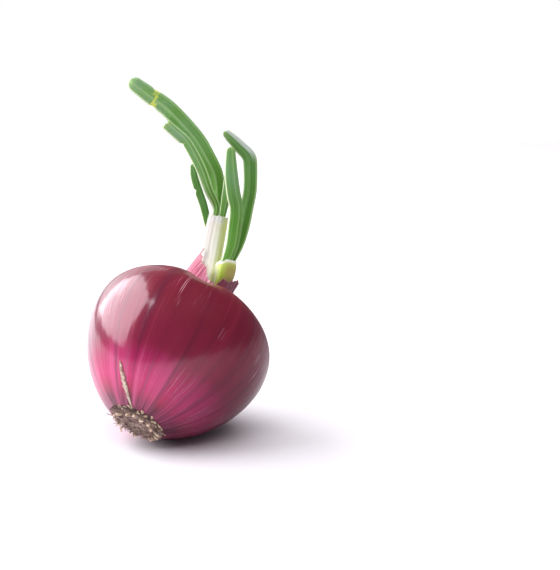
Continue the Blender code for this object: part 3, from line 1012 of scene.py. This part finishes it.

# %% [markdown]
# The sheath is nearly white, with faint green veins. Its right side is the
# yellow green of the leaf tissue below, its upper left is painted grey as
# painted shade, and its thin rim dries to grey patches.

# %% Sheath finish
def sheath_finish():
    white = Finish("sheath_skin", 0.40, coat=0.15)
    white.ramp(white.along, [
        (0.00, (0.80, 0.72, 0.50)), (0.25, (0.98, 0.95, 0.80)), (0.60, (1.0, 0.99, 0.90)),
        (0.90, (0.95, 0.96, 0.78)), (0.94, (0.98, 0.98, 0.94)), (1.00, (0.96, 0.97, 0.92))])
    veins = white.lines(22.0, 0.8, 0.48, 0.64)
    white.paint((0.82, 0.88, 0.58), veins, 0.30)
    right = white.curve(white.side, 0.20, 0.85)
    white.paint((0.70, 0.76, 0.14), right, 0.80)
    # Painted shade: the upper left of the sheath is painted grey.
    left = white.both(white.curve(white.side, 0.20, -0.55), white.curve(white.along, 0.42, 0.62))
    white.paint((0.56, 0.55, 0.48), left)
    rim = white.both(white.curve(white.along, 0.925, 0.945), white.blotches(700.0, 0.48, 0.60))
    white.paint((0.62, 0.63, 0.66), rim, 0.45)
    white.bump(white.lines(30.0, 0.8, 0.3, 0.7), 0.00010, 0.6)
    return white.done()


make_sheath(sheath_finish())

# %% [markdown]
# ## The green stub
#
# In front of the sheath stands a short leaf base that was cut across. It has a
# keel down its front, where the leaf folded, so its section is closer to a
# diamond than to a circle. The cut leaves a thick pale wall round a shallow
# cup, and two leaves come up out of that. It is an open tube like the sheath,
# and its mouth is slanted afterwards.

# %% Stub shape
STUB_FLATNESS = 0.72
STUB_CAVITY = 0.38
STUB_WALL = 0.0008
STUB_TEAR = 0.0006
STUB_SLANT = 0.0014
STUB_RAISED = 0.0003
NICK_DEPTH = 0.0011
NICK_WIDTH = 0.28
KEEL_ROUNDNESS = 1.35
STUB = [
    (0.0032, -0.0028, 0.0002, 0.0022), (0.0032, -0.0028, 0.0042, 0.0027),
    (0.0036, -0.0042, 0.0088, 0.0039), (0.0030, -0.0048, 0.0130, 0.0046),
    (0.0017, -0.0050, 0.0172, 0.0045),
]


def keeled(angle):
    """A soft diamond whose front keel stands left of the middle."""
    x, y = math.cos(angle), math.sin(angle)
    size = (abs(x) ** KEEL_ROUNDNESS + abs(y) ** KEEL_ROUNDNESS) ** (-1 / KEEL_ROUNDNESS)
    return Vector((x * size - 0.32 * max(y * size, 0.0), y * size * 1.15, 0.0))


def slant_rim(bm, rows, frames, mouth):
    """Slant the cut across the mouth, with a nick where the keel is."""
    grain = bm.verts.layers.float_vector["grain"]
    for index, verts in enumerate(rows):
        nearness = smooth(abs(index - mouth), 14, 0)
        along = frames[index].col[2].xyz.normalized()
        for vert in verts:
            across, near = vert[grain].x, vert[grain].y
            nick = math.exp(-(across / NICK_WIDTH) ** 2) if near > 0 else 0.0
            slant = STUB_RAISED + STUB_SLANT * across - NICK_DEPTH * nick
            vert.co += along * slant * nearness


def make_stub(material):
    bm = bmesh.new()
    rows, frames, mouth = open_tube(bm, STUB, STUB_FLATNESS, STUB_CAVITY, STUB_WALL,
                                    72, keeled, 1.02)
    tear_rim(bm, rows, frames, mouth, STUB_TEAR, 8.0)
    slant_rim(bm, rows, frames, mouth)
    return add_piece("stub_base", bm, SEAT, material, ["green_stub"], 60)

# %% [markdown]
# Fresh leaf tissue is yellow green, and shinier than the white sheath. A pale
# streak of painted highlight runs up the face left of the keel. The right side
# is painted a darker olive tan, partly painted shade and partly the tan of
# tissue that has begun to dry, and the cut wall at the mouth is nearly white.

# %% Stub finish
def stub_finish():
    stub = Finish("stub_skin", 0.33, coat=0.3)
    stub.ramp(stub.along, [
        (0.00, (0.42, 0.30, 0.12)), (0.30, (0.36, 0.40, 0.05)), (0.60, (0.40, 0.55, 0.04)),
        (0.90, (0.56, 0.72, 0.12)), (0.94, (0.92, 0.94, 0.76)), (1.00, (0.97, 0.97, 0.92))])
    veins = stub.lines(20.0, 0.8, 0.48, 0.62)
    stub.paint((0.62, 0.76, 0.18), veins, 0.5)
    # Painted highlight: a pale streak up the face left of the keel.
    painted_highlight_streak = stub.curve(stub.size(stub.math("ADD", stub.side, 0.62)), 0.26, 0.05)
    stub.paint((0.80, 0.84, 0.58), painted_highlight_streak, 0.60)
    # Partly painted shade: the right face below the rim is painted olive tan, partly for shade and
    # partly for drying tissue.
    right = stub.curve(stub.side, 0.0, 0.75)
    low = stub.curve(stub.along, 1.0, 0.78)
    stub.paint((0.40, 0.31, 0.10), stub.both(right, low), 0.85)
    stub.bump(stub.lines(24.0, 0.8, 0.3, 0.7), 0.00010, 0.6)
    return stub.done()


make_stub(stub_finish())

# %% [markdown]
# ## The leaves
#
# Six leaves rise from the neck. Each is a flattened hollow blade with fine ribs
# and a ridge down its front, so its section has those and the sweep carries
# them to the tip. Two things that happened to the leaves are shaped too: a
# notch, where a blade was kinked and tore, pulls in one side of the section at
# one height, and a step widens it beyond a tear. A second attribute, wound,
# remembers where the tears are, and the finish turns those places yellow.

# %% Leaf sections
def ridged(middle, ridge, ribs=14, depth=0.022):
    """A blade section: ribbed, with a ridge down the front at one place."""
    def section(angle):
        size = 1.0 + depth * math.cos(ribs * angle)
        x, y = math.cos(angle) * size, math.sin(angle) * size
        if y > 0:
            y += ridge * math.exp(-((x - middle) / 0.30) ** 2)
        else:
            y += 0.5 * ridge * math.exp(-((x - middle) / 0.45) ** 2)
        return Vector((x, y, 0.0))
    return section

# %% [markdown]
# A leaf that comes out of the sheath starts with a base seated in the sheath's
# bore, at its own place across it, so the leaves there keep clear of each
# other. A whole leaf gets a rounded tip, and the broken one a torn end.

# %% Growing a leaf
LEAF_FLATNESS = 0.42
LEAF_STEPS = 10
LEAF_SIDES = 56
LEAF_TEAR = 0.0010
WOUND_JITTER = 0.012


def shifted(stations, origin):
    """Stations that were counted from another piece's end."""
    return [(*(Vector(station[:3]) + Vector(origin[:3])), station[3]) for station in stations]


def seated_base(seat_in_bore):
    """Stations of a leaf base that stands in the sheath's bore."""
    across, near, width = seat_in_bore
    route = smooth_route(SHEATH, 3)
    bore = narrowed(route[round(len(route) * (1 - SHEATH_CAVITY)):], SHEATH_WALL)
    stations = []
    for ring, point in list(zip(ring_frames(bore, SHEATH_FLATNESS), bore))[1::3]:
        stations.append((*(ring @ Vector((across, near, 0.0))), width * point[3]))
    return stations


def hurt_leaf(bm, rows, frames, notches, steps):
    """Pull in notches, widen beyond steps, and note both as wounds."""
    grain = bm.verts.layers.float_vector["grain"]
    wound = bm.verts.layers.float["wound"]
    for verts, ring in zip(rows, frames):
        for vert in verts:
            side, reach = vert[grain].x, vert[grain].z
            offset = vert.co - ring.translation
            jitter = WOUND_JITTER * rough(*vert.co * 900)
            for place, length, depth, towards in notches:
                near = math.exp(-((reach + jitter - place) / length) ** 2)
                share = max(0.0, side * towards) if towards else 1.0
                offset *= 1.0 - depth * near * share
                vert[wound] = max(vert[wound], near * (0.35 + 0.65 * share))
            for place, extra, towards in steps:
                beyond = clamped((reach - place) / 0.012) * max(0.0, side * towards)
                offset += ring.col[0].xyz * extra * towards * beyond
            vert.co = ring.translation + offset


def make_leaf(name, stations, material, stands_for, section, blunt=False, notches=(), steps=()):
    bm = bmesh.new()
    bm.verts.layers.float.new("wound")
    frames = ring_frames(smooth_route(stations, LEAF_STEPS), LEAF_FLATNESS)
    if not blunt:
        frames += rounded_tip(frames[-1], stations[-1][3] * 1.05)
    rows = grow_tube(bm, frames, LEAF_SIDES, section, evenly(len(frames)))
    hurt_leaf(bm, rows, frames, notches, steps)
    if blunt:
        tear_rim(bm, rows, frames, len(frames) - 1, LEAF_TEAR, 5.0)
    return add_piece(name, bm, SEAT, material, [stands_for], 60)

# %% [markdown]
# A leaf's green runs from pale near the foot to full along the blade, with
# lighter veins, a pale ridge line down the front and pale edges. The pale edges
# are partly the leaf's own pale margin and partly painted highlight where an
# edge catches the light. A bluish bloom lies over the upper part in soft
# patches. The settings that differ from leaf to leaf are where the ridge is,
# how dark the leaf is, how pale its two edges are, whether its foot is milky,
# and how strong a painted highlight lies on its fold.

# %% Leaf finish
def leaf_finish(name, ridge_at, dark=0.0, pale_left=0.6, pale_right=0.3, milky=0.0, fold_highlight=0.0):
    leaf = Finish(name, 0.40, coat=0.10)
    leaf.set("Specular IOR Level", 0.35)
    leaf.ramp(leaf.along, [
        (0.00, (0.40, 0.56, 0.16)), (0.07, (0.085, 0.25, 0.012)), (0.40, (0.100, 0.29, 0.028)),
        (0.70, (0.14, 0.34, 0.075)), (0.93, (0.22, 0.44, 0.13)), (1.00, (0.45, 0.62, 0.12))])
    veins = leaf.lines(8.0, 0.35, 0.42, 0.62)
    leaf.paint((0.24, 0.50, 0.09), veins, 0.50)
    deep = leaf.lines(6.0, 0.5, 0.48, 0.66)
    leaf.paint((0.045, 0.19, 0.015), deep, 0.50 + 0.3 * dark)
    bloom = leaf.both(leaf.blotches(90.0, 0.36, 0.66), leaf.curve(leaf.along, 0.40, 0.80))
    leaf.paint((0.24, 0.43, 0.25), bloom, 0.65)
    if dark:
        leaf.paint((0.03, 0.14, 0.012), dark)
    # Partly painted highlight: the pale edges stand for the leaf's margin and for light on the
    # edge.
    left = leaf.both(leaf.curve(leaf.side, -0.76, -0.90), pale_left)
    right = leaf.both(leaf.curve(leaf.side, 0.70, 0.84), pale_right)
    leaf.paint((0.70, 0.84, 0.48), left)
    leaf.paint((0.52, 0.74, 0.34), right)
    if milky:
        low = leaf.both(leaf.curve(leaf.along, 0.62, 0.20), leaf.curve(leaf.side, -0.35, -0.62))
        leaf.paint((0.84, 0.90, 0.74), low, milky)
    if fold_highlight:
        # Painted highlight: a whitish patch on the folded part of the blade.
        fold = leaf.both(leaf.curve(leaf.along, 0.60, 0.70), leaf.curve(leaf.side, 0.15, 0.50))
        leaf.paint((0.78, 0.82, 0.80), fold, fold_highlight)
    offset = leaf.size(leaf.math("SUBTRACT", leaf.side, ridge_at))
    crest = leaf.both(leaf.curve(offset, 0.20, 0.04), leaf.curve(leaf.near, 0.0, 0.2))
    leaf.paint((0.42, 0.66, 0.28), crest, 0.60 - 1.1 * dark)
    ragged = leaf.curve(leaf.blotches(900.0, 0.2, 0.6), 0.0, 1.0, 0.55, 1.0)
    sore = leaf.curve(leaf.both(leaf.attribute("wound"), ragged), 0.35, 0.70)
    leaf.paint((0.64, 0.74, 0.12), sore)
    leaf.bump(leaf.lines(22.0, 0.5, 0.3, 0.7), 0.00008, 0.5)
    return leaf.done()

# %% [markdown]
# The stations of the leaves are counted from the last station of the piece
# they come out of: the sheath's mouth or the stub's. Only the thin leaf, which
# stands behind the sheath, is counted from the neck's seat.

# %% Stations of the leaves
LEAF_LONG = [
    (-0.0046, -0.0026, 0.0083, 0.0027), (-0.0092, -0.0072, 0.0137, 0.0033),
    (-0.0153, -0.0117, 0.0167, 0.0036), (-0.0244, -0.0161, 0.0207, 0.0037),
    (-0.0387, -0.0221, 0.0235, 0.0037), (-0.0477, -0.0254, 0.0234, 0.0036),
    (-0.0562, -0.0287, 0.0231, 0.0031),
]
LEAF_BROKEN = [
    (-0.0030, -0.0023, 0.0026, 0.0018), (-0.0090, -0.0074, 0.0055, 0.0021),
    (-0.0151, -0.0120, 0.0098, 0.0022), (-0.0206, -0.0153, 0.0129, 0.0022),
    (-0.0270, -0.0185, 0.0157, 0.0021), (-0.0329, -0.0206, 0.0164, 0.0020),
    (-0.0374, -0.0223, 0.0168, 0.0019),
]
LEAF_SHORT = [
    (-0.0005, -0.0063, 0.0056, 0.0018), (-0.0034, -0.0106, 0.0126, 0.0018),
    (-0.0061, -0.0126, 0.0184, 0.0014),
]
LEAF_THIN = [
    (-0.0023, 0.0060, 0.0005, 0.0012), (-0.0023, 0.0067, 0.0070, 0.0013),
    (-0.0050, 0.0094, 0.0244, 0.0016), (-0.0092, 0.0087, 0.0316, 0.0017),
    (-0.0152, 0.0060, 0.0382, 0.0017), (-0.0200, 0.0034, 0.0430, 0.0018),
    (-0.0247, 0.0009, 0.0468, 0.0018), (-0.0290, -0.0020, 0.0505, 0.0016),
    (-0.0314, -0.0038, 0.0533, 0.0011),
]
LEAF_FRONT = [
    (0.0002, -0.0002, -0.0050, 0.0016),
    (-0.0003, -0.0008, 0.0012, 0.0022), (-0.0013, -0.0016, 0.0082, 0.0028),
    (-0.0038, -0.0034, 0.0157, 0.0030), (-0.0069, -0.0065, 0.0227, 0.0030),
    (-0.0111, -0.0100, 0.0271, 0.0030), (-0.0158, -0.0142, 0.0330, 0.0028),
    (-0.0200, -0.0187, 0.0396, 0.0020),
]
LEAF_BENT = [
    (0.0012, 0.0012, -0.0040, 0.0016),
    (0.0010, 0.0020, 0.0020, 0.0020), (0.0007, 0.0019, 0.0117, 0.0024),
    (-0.0010, 0.0008, 0.0202, 0.0028), (-0.0037, -0.0030, 0.0290, 0.0029),
    (-0.0056, -0.0064, 0.0343, 0.0029), (-0.0094, -0.0105, 0.0410, 0.0030),
    (-0.0125, -0.0136, 0.0446, 0.0030), (-0.0178, -0.0163, 0.0454, 0.0027),
    (-0.0228, -0.0188, 0.0458, 0.0022), (-0.0249, -0.0198, 0.0460, 0.0018),
]


for leaf in (LEAF_LONG, LEAF_BROKEN, LEAF_SHORT, LEAF_THIN, LEAF_FRONT, LEAF_BENT):
    places = [Vector(station[:3]) for station in leaf]
    length = sum((end - start).length for start, end in zip(places, places[1:]))
    print("leaf of %2d stations, %.0f mm long" % (len(leaf), 1000 * length))

# %% [markdown]
# Each leaf gets its own finish, because the ridge, the shade and the pale edges
# differ. A notch is given as its place along the leaf, its length, its depth
# and its side; a step as its place, its extra width and its side.

# %% The six leaves
mouth = SHEATH[-1]
cup = STUB[-1]
make_leaf("blade_long", seated_base((0.10, -0.38, 0.48)) + shifted(LEAF_LONG, mouth),
          leaf_finish("leaf_long_skin", -0.12), "leaf_long", ridged(-0.12, 0.42),
          notches=[(0.835, 0.016, 0.12, 1), (0.80, 0.014, 0.20, -1), (0.815, 0.006, 0.02, 0)])
make_leaf("blade_broken", seated_base((-0.40, 0.34, 0.38)) + shifted(LEAF_BROKEN, mouth),
          leaf_finish("leaf_broken_skin", 0.15, pale_left=0.9, pale_right=0.85, milky=0.9),
          "leaf_broken", ridged(0.15, 0.30), blunt=True,
          notches=[(0.77, 0.008, 0.25, -1)], steps=[(0.78, 0.30, -1)])
make_leaf("blade_short", seated_base((0.43, 0.34, 0.32)) + shifted(LEAF_SHORT, mouth),
          leaf_finish("leaf_short_skin", 0.3, pale_left=0.95), "leaf_short", ridged(0.3, 0.30))
make_leaf("blade_thin", LEAF_THIN,
          leaf_finish("leaf_thin_skin", 0.4, dark=0.40, pale_left=0.9, pale_right=0.0),
          "leaf_thin", ridged(0.4, 0.30), notches=[(0.69, 0.014, 0.55, -1)])
make_leaf("blade_front", shifted(LEAF_FRONT, cup),
          leaf_finish("leaf_front_skin", 0.45, dark=0.25, pale_left=1.0, pale_right=0.2),
          "leaf_front", ridged(0.45, 0.22))
make_leaf("blade_bent", shifted(LEAF_BENT, cup),
          leaf_finish("leaf_bent_skin", -0.1, dark=0.38, pale_left=0.5, pale_right=0.5,
                      fold_highlight=0.65),
          "leaf_bent", ridged(-0.1, 0.40))

# %% [markdown]
# ## The root disc
#
# The onion's true stem is a flat woody disc at its root end. Old roots dried
# off it, so its face is a mat of short fibres. A spun disc with rough relief is
# the ground, and the fibres are short tubes strewn over it. There are many of
# them, so each has only a few faces.

# %% Disc relief
PLATE_TURNS = 160
PLATE_RINGS = 34
LUMP_DEPTH = 0.00045
CRACK_DEPTH = 0.00060
CRACK_WIDTH = 0.16
STRAND_DEPTH = 0.00022


def plate_face(radius):
    """Height of the plate's domed face at this radius."""
    share = min(radius / PLATE_RADIUS, 1.0)
    return PLATE_FACE + PLATE_PROUD * share ** 4


def disc_relief(x, y):
    """Woody lumps, cracks and strands on the face of the disc."""
    crack = max(0.0, CRACK_WIDTH - abs(rough(x * 620, y * 620, 4.0))) / CRACK_WIDTH
    relief = LUMP_DEPTH * rough(x * 330, y * 330, 1.0) - CRACK_DEPTH * crack
    return relief + STRAND_DEPTH * rough(x * 1400, y * 500, 7.0)


def spin_disc(bm):
    grain = bm.verts.layers.float_vector.new("grain")
    radii = [0.0004] + [PLATE_RADIUS * (ring + 1) / PLATE_RINGS for ring in range(PLATE_RINGS)]
    back = [(PLATE_RADIUS + 0.0001, ROOT_RIM + 0.0005), (PLATE_RADIUS - 0.0010, ROOT_RIM + 0.0009),
            (0.0004, ROOT_RIM + 0.0012)]
    spin_outline(bm, [(radius, plate_face(radius)) for radius in radii] + back, PLATE_TURNS)
    for vert in bm.verts:
        angle = math.atan2(vert.co.y, vert.co.x)
        vert[grain] = (math.cos(angle), math.sin(angle), vert.co.xy.length / PLATE_RADIUS)
        if vert.co.z < ROOT_RIM + 0.0003:
            vert.co.z -= disc_relief(vert.co.x, vert.co.y)
    fill_holes(bm)


print("plate face %.1f mm beyond the rim" % (1000 * (ROOT_RIM - plate_face(0.0))))

# %% [markdown]
# Fibres and roots are thin tubes. Each is grown in a small mesh of its own and
# then copied into the piece. A fibre wanders off from its start with a bend
# that changes at every step. Whatever would sink into the table is pressed
# nearly flat, just above it.

# %% Roots and fibres
CLEAR = 0.0004
LOWEST = 0.0001
PRESSED = 0.12
TUBE_FACING = Vector((0.31, 0.17, 0.93))


def root_tube(bm, points, radius, sides, tip=0.55):
    """Add a thin tapering tube through points to a mesh."""
    alone = bmesh.new()
    route = [Vector((*point, radius * (1 - (1 - tip) * index / (len(points) - 1))))
             for index, point in enumerate(points)]
    frames = ring_frames(route, 1.0, facing=TUBE_FACING)
    grow_tube(alone, frames, sides, None, evenly(len(frames)))
    carrier = bpy.data.meshes.new("tube")
    alone.to_mesh(carrier)
    alone.free()
    bm.from_mesh(carrier)
    bpy.data.meshes.remove(carrier)


def keep_clear(bm):
    """Press whatever would sink into the table flat, just above it."""
    back = AXIS.inverted()
    for vert in bm.verts:
        place = AXIS @ vert.co
        if place.z < CLEAR:
            place.z = max(LOWEST, CLEAR + PRESSED * (place.z - CLEAR))
            vert.co = back @ place


def wander(start, heading, length, steps, dice, bend, dip=0.0):
    """Points of a fibre that wanders off from a start."""
    points = [Vector(start)]
    turn = dice.uniform(-bend, bend)
    for step in range(steps):
        heading = (Matrix.Rotation(turn / steps, 3, "Z") @ heading).normalized()
        turn += dice.uniform(-bend, bend) * 0.6
        points.append(points[-1] + heading * (length / steps) + Vector((0, 0, dip / steps)))
    return points

# %% [markdown]
# The fibres are strewn at random over the disc's face, from a fixed seed, and
# each starts just under it. The square root spreads them evenly: without it
# they would crowd the middle.

# %% Disc with its fibres
FIBRE_COUNT = 230
FIBRE_SEED = 21


def make_disc(material):
    bm = bmesh.new()
    spin_disc(bm)
    dice = random.Random(FIBRE_SEED)
    for _ in range(FIBRE_COUNT):
        radius = PLATE_RADIUS * math.sqrt(dice.uniform(0.02, 0.84))
        angle = dice.uniform(0, math.tau)
        start = (radius * math.cos(angle), radius * math.sin(angle), plate_face(radius) - 0.0001)
        way = angle + dice.uniform(-1.3, 1.3)
        heading = Vector((math.cos(way), math.sin(way), dice.uniform(-0.45, -0.05)))
        points = wander(start, heading, dice.uniform(0.0010, 0.0034), 5, dice, 1.2, 0.0002)
        root_tube(bm, points, dice.uniform(0.00010, 0.00022), 6)
    keep_clear(bm)
    return add_piece("root_disc_mat", bm, AXIS, material, ["root_plate"], 45)

# %% [markdown]
# The disc is grey-brown dead wood. Noise mixes its browns, grit darkens it in
# specks, and its near edge is darkened with painted shade, where the skin's rim
# shades the disc.

# %% Disc finish
def disc_finish():
    disc = Finish("disc_wood", 0.88)
    disc.ramp(disc.blotches(420.0, 0.30, 0.72), [
        (0.0, (0.13, 0.080, 0.070)), (0.40, (0.36, 0.25, 0.22)),
        (0.75, (0.52, 0.39, 0.33)), (1.0, (0.68, 0.55, 0.43))])
    grit = disc.blotches(1500.0, 0.45, 0.62)
    disc.paint((0.12, 0.065, 0.06), grit, 0.40)
    # Painted shade: the near edge of the disc is darkened under the skin's rim.
    edge = disc.both(disc.curve(disc.along, 0.74, 0.90), disc.curve(disc.near, 0.1, -0.4))
    disc.paint((0.045, 0.016, 0.020), edge, 0.80)
    disc.bump(disc.blotches(1800.0, 0.3, 0.7), 0.00012, 0.8)
    return disc.done()


make_disc(disc_finish())

# %% [markdown]
# Round the edge of the disc stand the stumps of thicker roots: cream, curled,
# and broken off short, with dark gaps between them. Each tuft has one main root
# and a few smaller companions that lean away from it. The roots on the near
# side stand out, so their companions are stouter. Those at the lower left are
# worn down, each to its own share of the full length.

# %% Root routes
ROOT_COUNT = 18
ROOT_RADIUS = 0.00045
ROOT_INSET = 0.0024
ROOT_REACH = 0.0030
ROOT_LIFT = 0.0016
ROOT_SEED = 7
ROOT_STEPS = 6
WORN = {3: 0.4, 4: 0.4, 5: 0.4, 7: 0.25, 8: 0.15, 9: 0.15, 10: 0.35}


def root_route(number, dice):
    """One dry root: out of the plate's face, then curling over to the rim."""
    angle = math.tau * (number + dice.uniform(-0.3, 0.3)) / ROOT_COUNT
    start = PLATE_RADIUS - ROOT_INSET + dice.uniform(-0.0010, 0.0006)
    downward = max(0.0, math.cos(angle + ROLL))
    kept = WORN.get(number, 1.0)
    reach = ROOT_REACH * dice.uniform(0.8, 1.1) * (1 - 0.55 * downward) * kept
    lift = ROOT_LIFT * dice.uniform(0.8, 1.2) * (1 - 0.60 * downward) * kept
    curl = dice.uniform(-0.20, 0.20)
    points = []
    for t in evenly(ROOT_STEPS + 1):
        radius = start + reach * t
        turn = angle + curl * t * t
        rise = ROOT_RADIUS + GAP + lift * math.sin(math.pi * 0.62 * t)
        points.append((radius * math.cos(turn), radius * math.sin(turn), plate_face(start) - rise))
    return angle, points


print(len(WORN), "of", ROOT_COUNT, "roots are worn down")

# %% [markdown]
# The main root and its companions are joined in one mesh, so each tuft stands
# for one root of the frame.

# %% Root tufts
STANDING = (10, 11, 12, 13, 14, 15)
STOUTER = 1.7
COMPANIONS = 3
TUFT_SEED = 5


def add_companion(bm, number, angle, extra):
    """A short side strand, rooted near a main root and leaning off it."""
    stout = STOUTER if number in STANDING else 1.0
    kept = WORN.get(number, 1.0)
    way = angle + extra.uniform(-0.16, 0.16)
    radius = PLATE_RADIUS - extra.uniform(0.0002, 0.0022) / kept ** 0.4
    start = (radius * math.cos(way), radius * math.sin(way), plate_face(radius) + 0.0003)
    lean = way + extra.uniform(-0.9, 0.9) + (math.pi if number in WORN else 0.0)
    aside = 0.6 * stout
    down = extra.uniform(-1.1, -0.3) / stout ** 2
    heading = Vector((aside * math.cos(lean), aside * math.sin(lean), down))
    length = extra.uniform(0.0014, 0.0030) * kept ** 0.5
    dip = extra.uniform(0.0002, 0.0014)
    hook = wander(start, heading, length, 6, extra, 1.6, dip)
    root_tube(bm, hook, extra.uniform(0.00024, 0.00046) * stout ** 0.6, 9, 0.6)


def make_tuft(number, dice, extra, material):
    bm = bmesh.new()
    bm.verts.layers.float_vector.new("grain")
    angle, points = root_route(number, dice)
    route = [point.xyz for point in smooth_route([(*point, 0.0) for point in points], 3)]
    foot = Vector((*points[0][:2], plate_face(Vector(points[0][:2]).length) + 0.0006))
    root_tube(bm, [foot] + route, extra.uniform(0.00042, 0.00060), 12, extra.uniform(0.45, 0.9))
    for _ in range(COMPANIONS):
        add_companion(bm, number, angle, extra)
    keep_clear(bm)
    name = "root_%02d" % (number + 1)
    return add_piece("tuft_%02d" % (number + 1), bm, AXIS, material, [name], 60)

# %% [markdown]
# A root is brown where it leaves the disc and cream towards its tip, with pale
# spots and specks of soil.

# %% Root finish
def root_finish():
    root = Finish("root_skin", 0.78)
    root.ramp(root.along, [
        (0.0, (0.20, 0.115, 0.075)), (0.35, (0.50, 0.36, 0.24)),
        (0.8, (0.80, 0.64, 0.46)), (1.0, (0.62, 0.44, 0.30))])
    spots = root.blotches(700.0, 0.42, 0.66)
    root.paint((0.84, 0.70, 0.52), spots, 0.55)
    grime = root.blotches(500.0, 0.56, 0.70)
    root.paint((0.16, 0.085, 0.065), grime, 0.7)
    root.bump(root.blotches(1400.0, 0.3, 0.7), 0.00010, 0.7)
    return root.done()


root_skin = root_finish()
root_dice = random.Random(ROOT_SEED)
tuft_dice = random.Random(TUFT_SEED)
for number in range(ROOT_COUNT):
    make_tuft(number, root_dice, tuft_dice, root_skin)

# %% [markdown]
# ## The pieces made
#
# The last cell prints how many pieces were made.

# %% Pieces made
print("pieces made:", len(made))
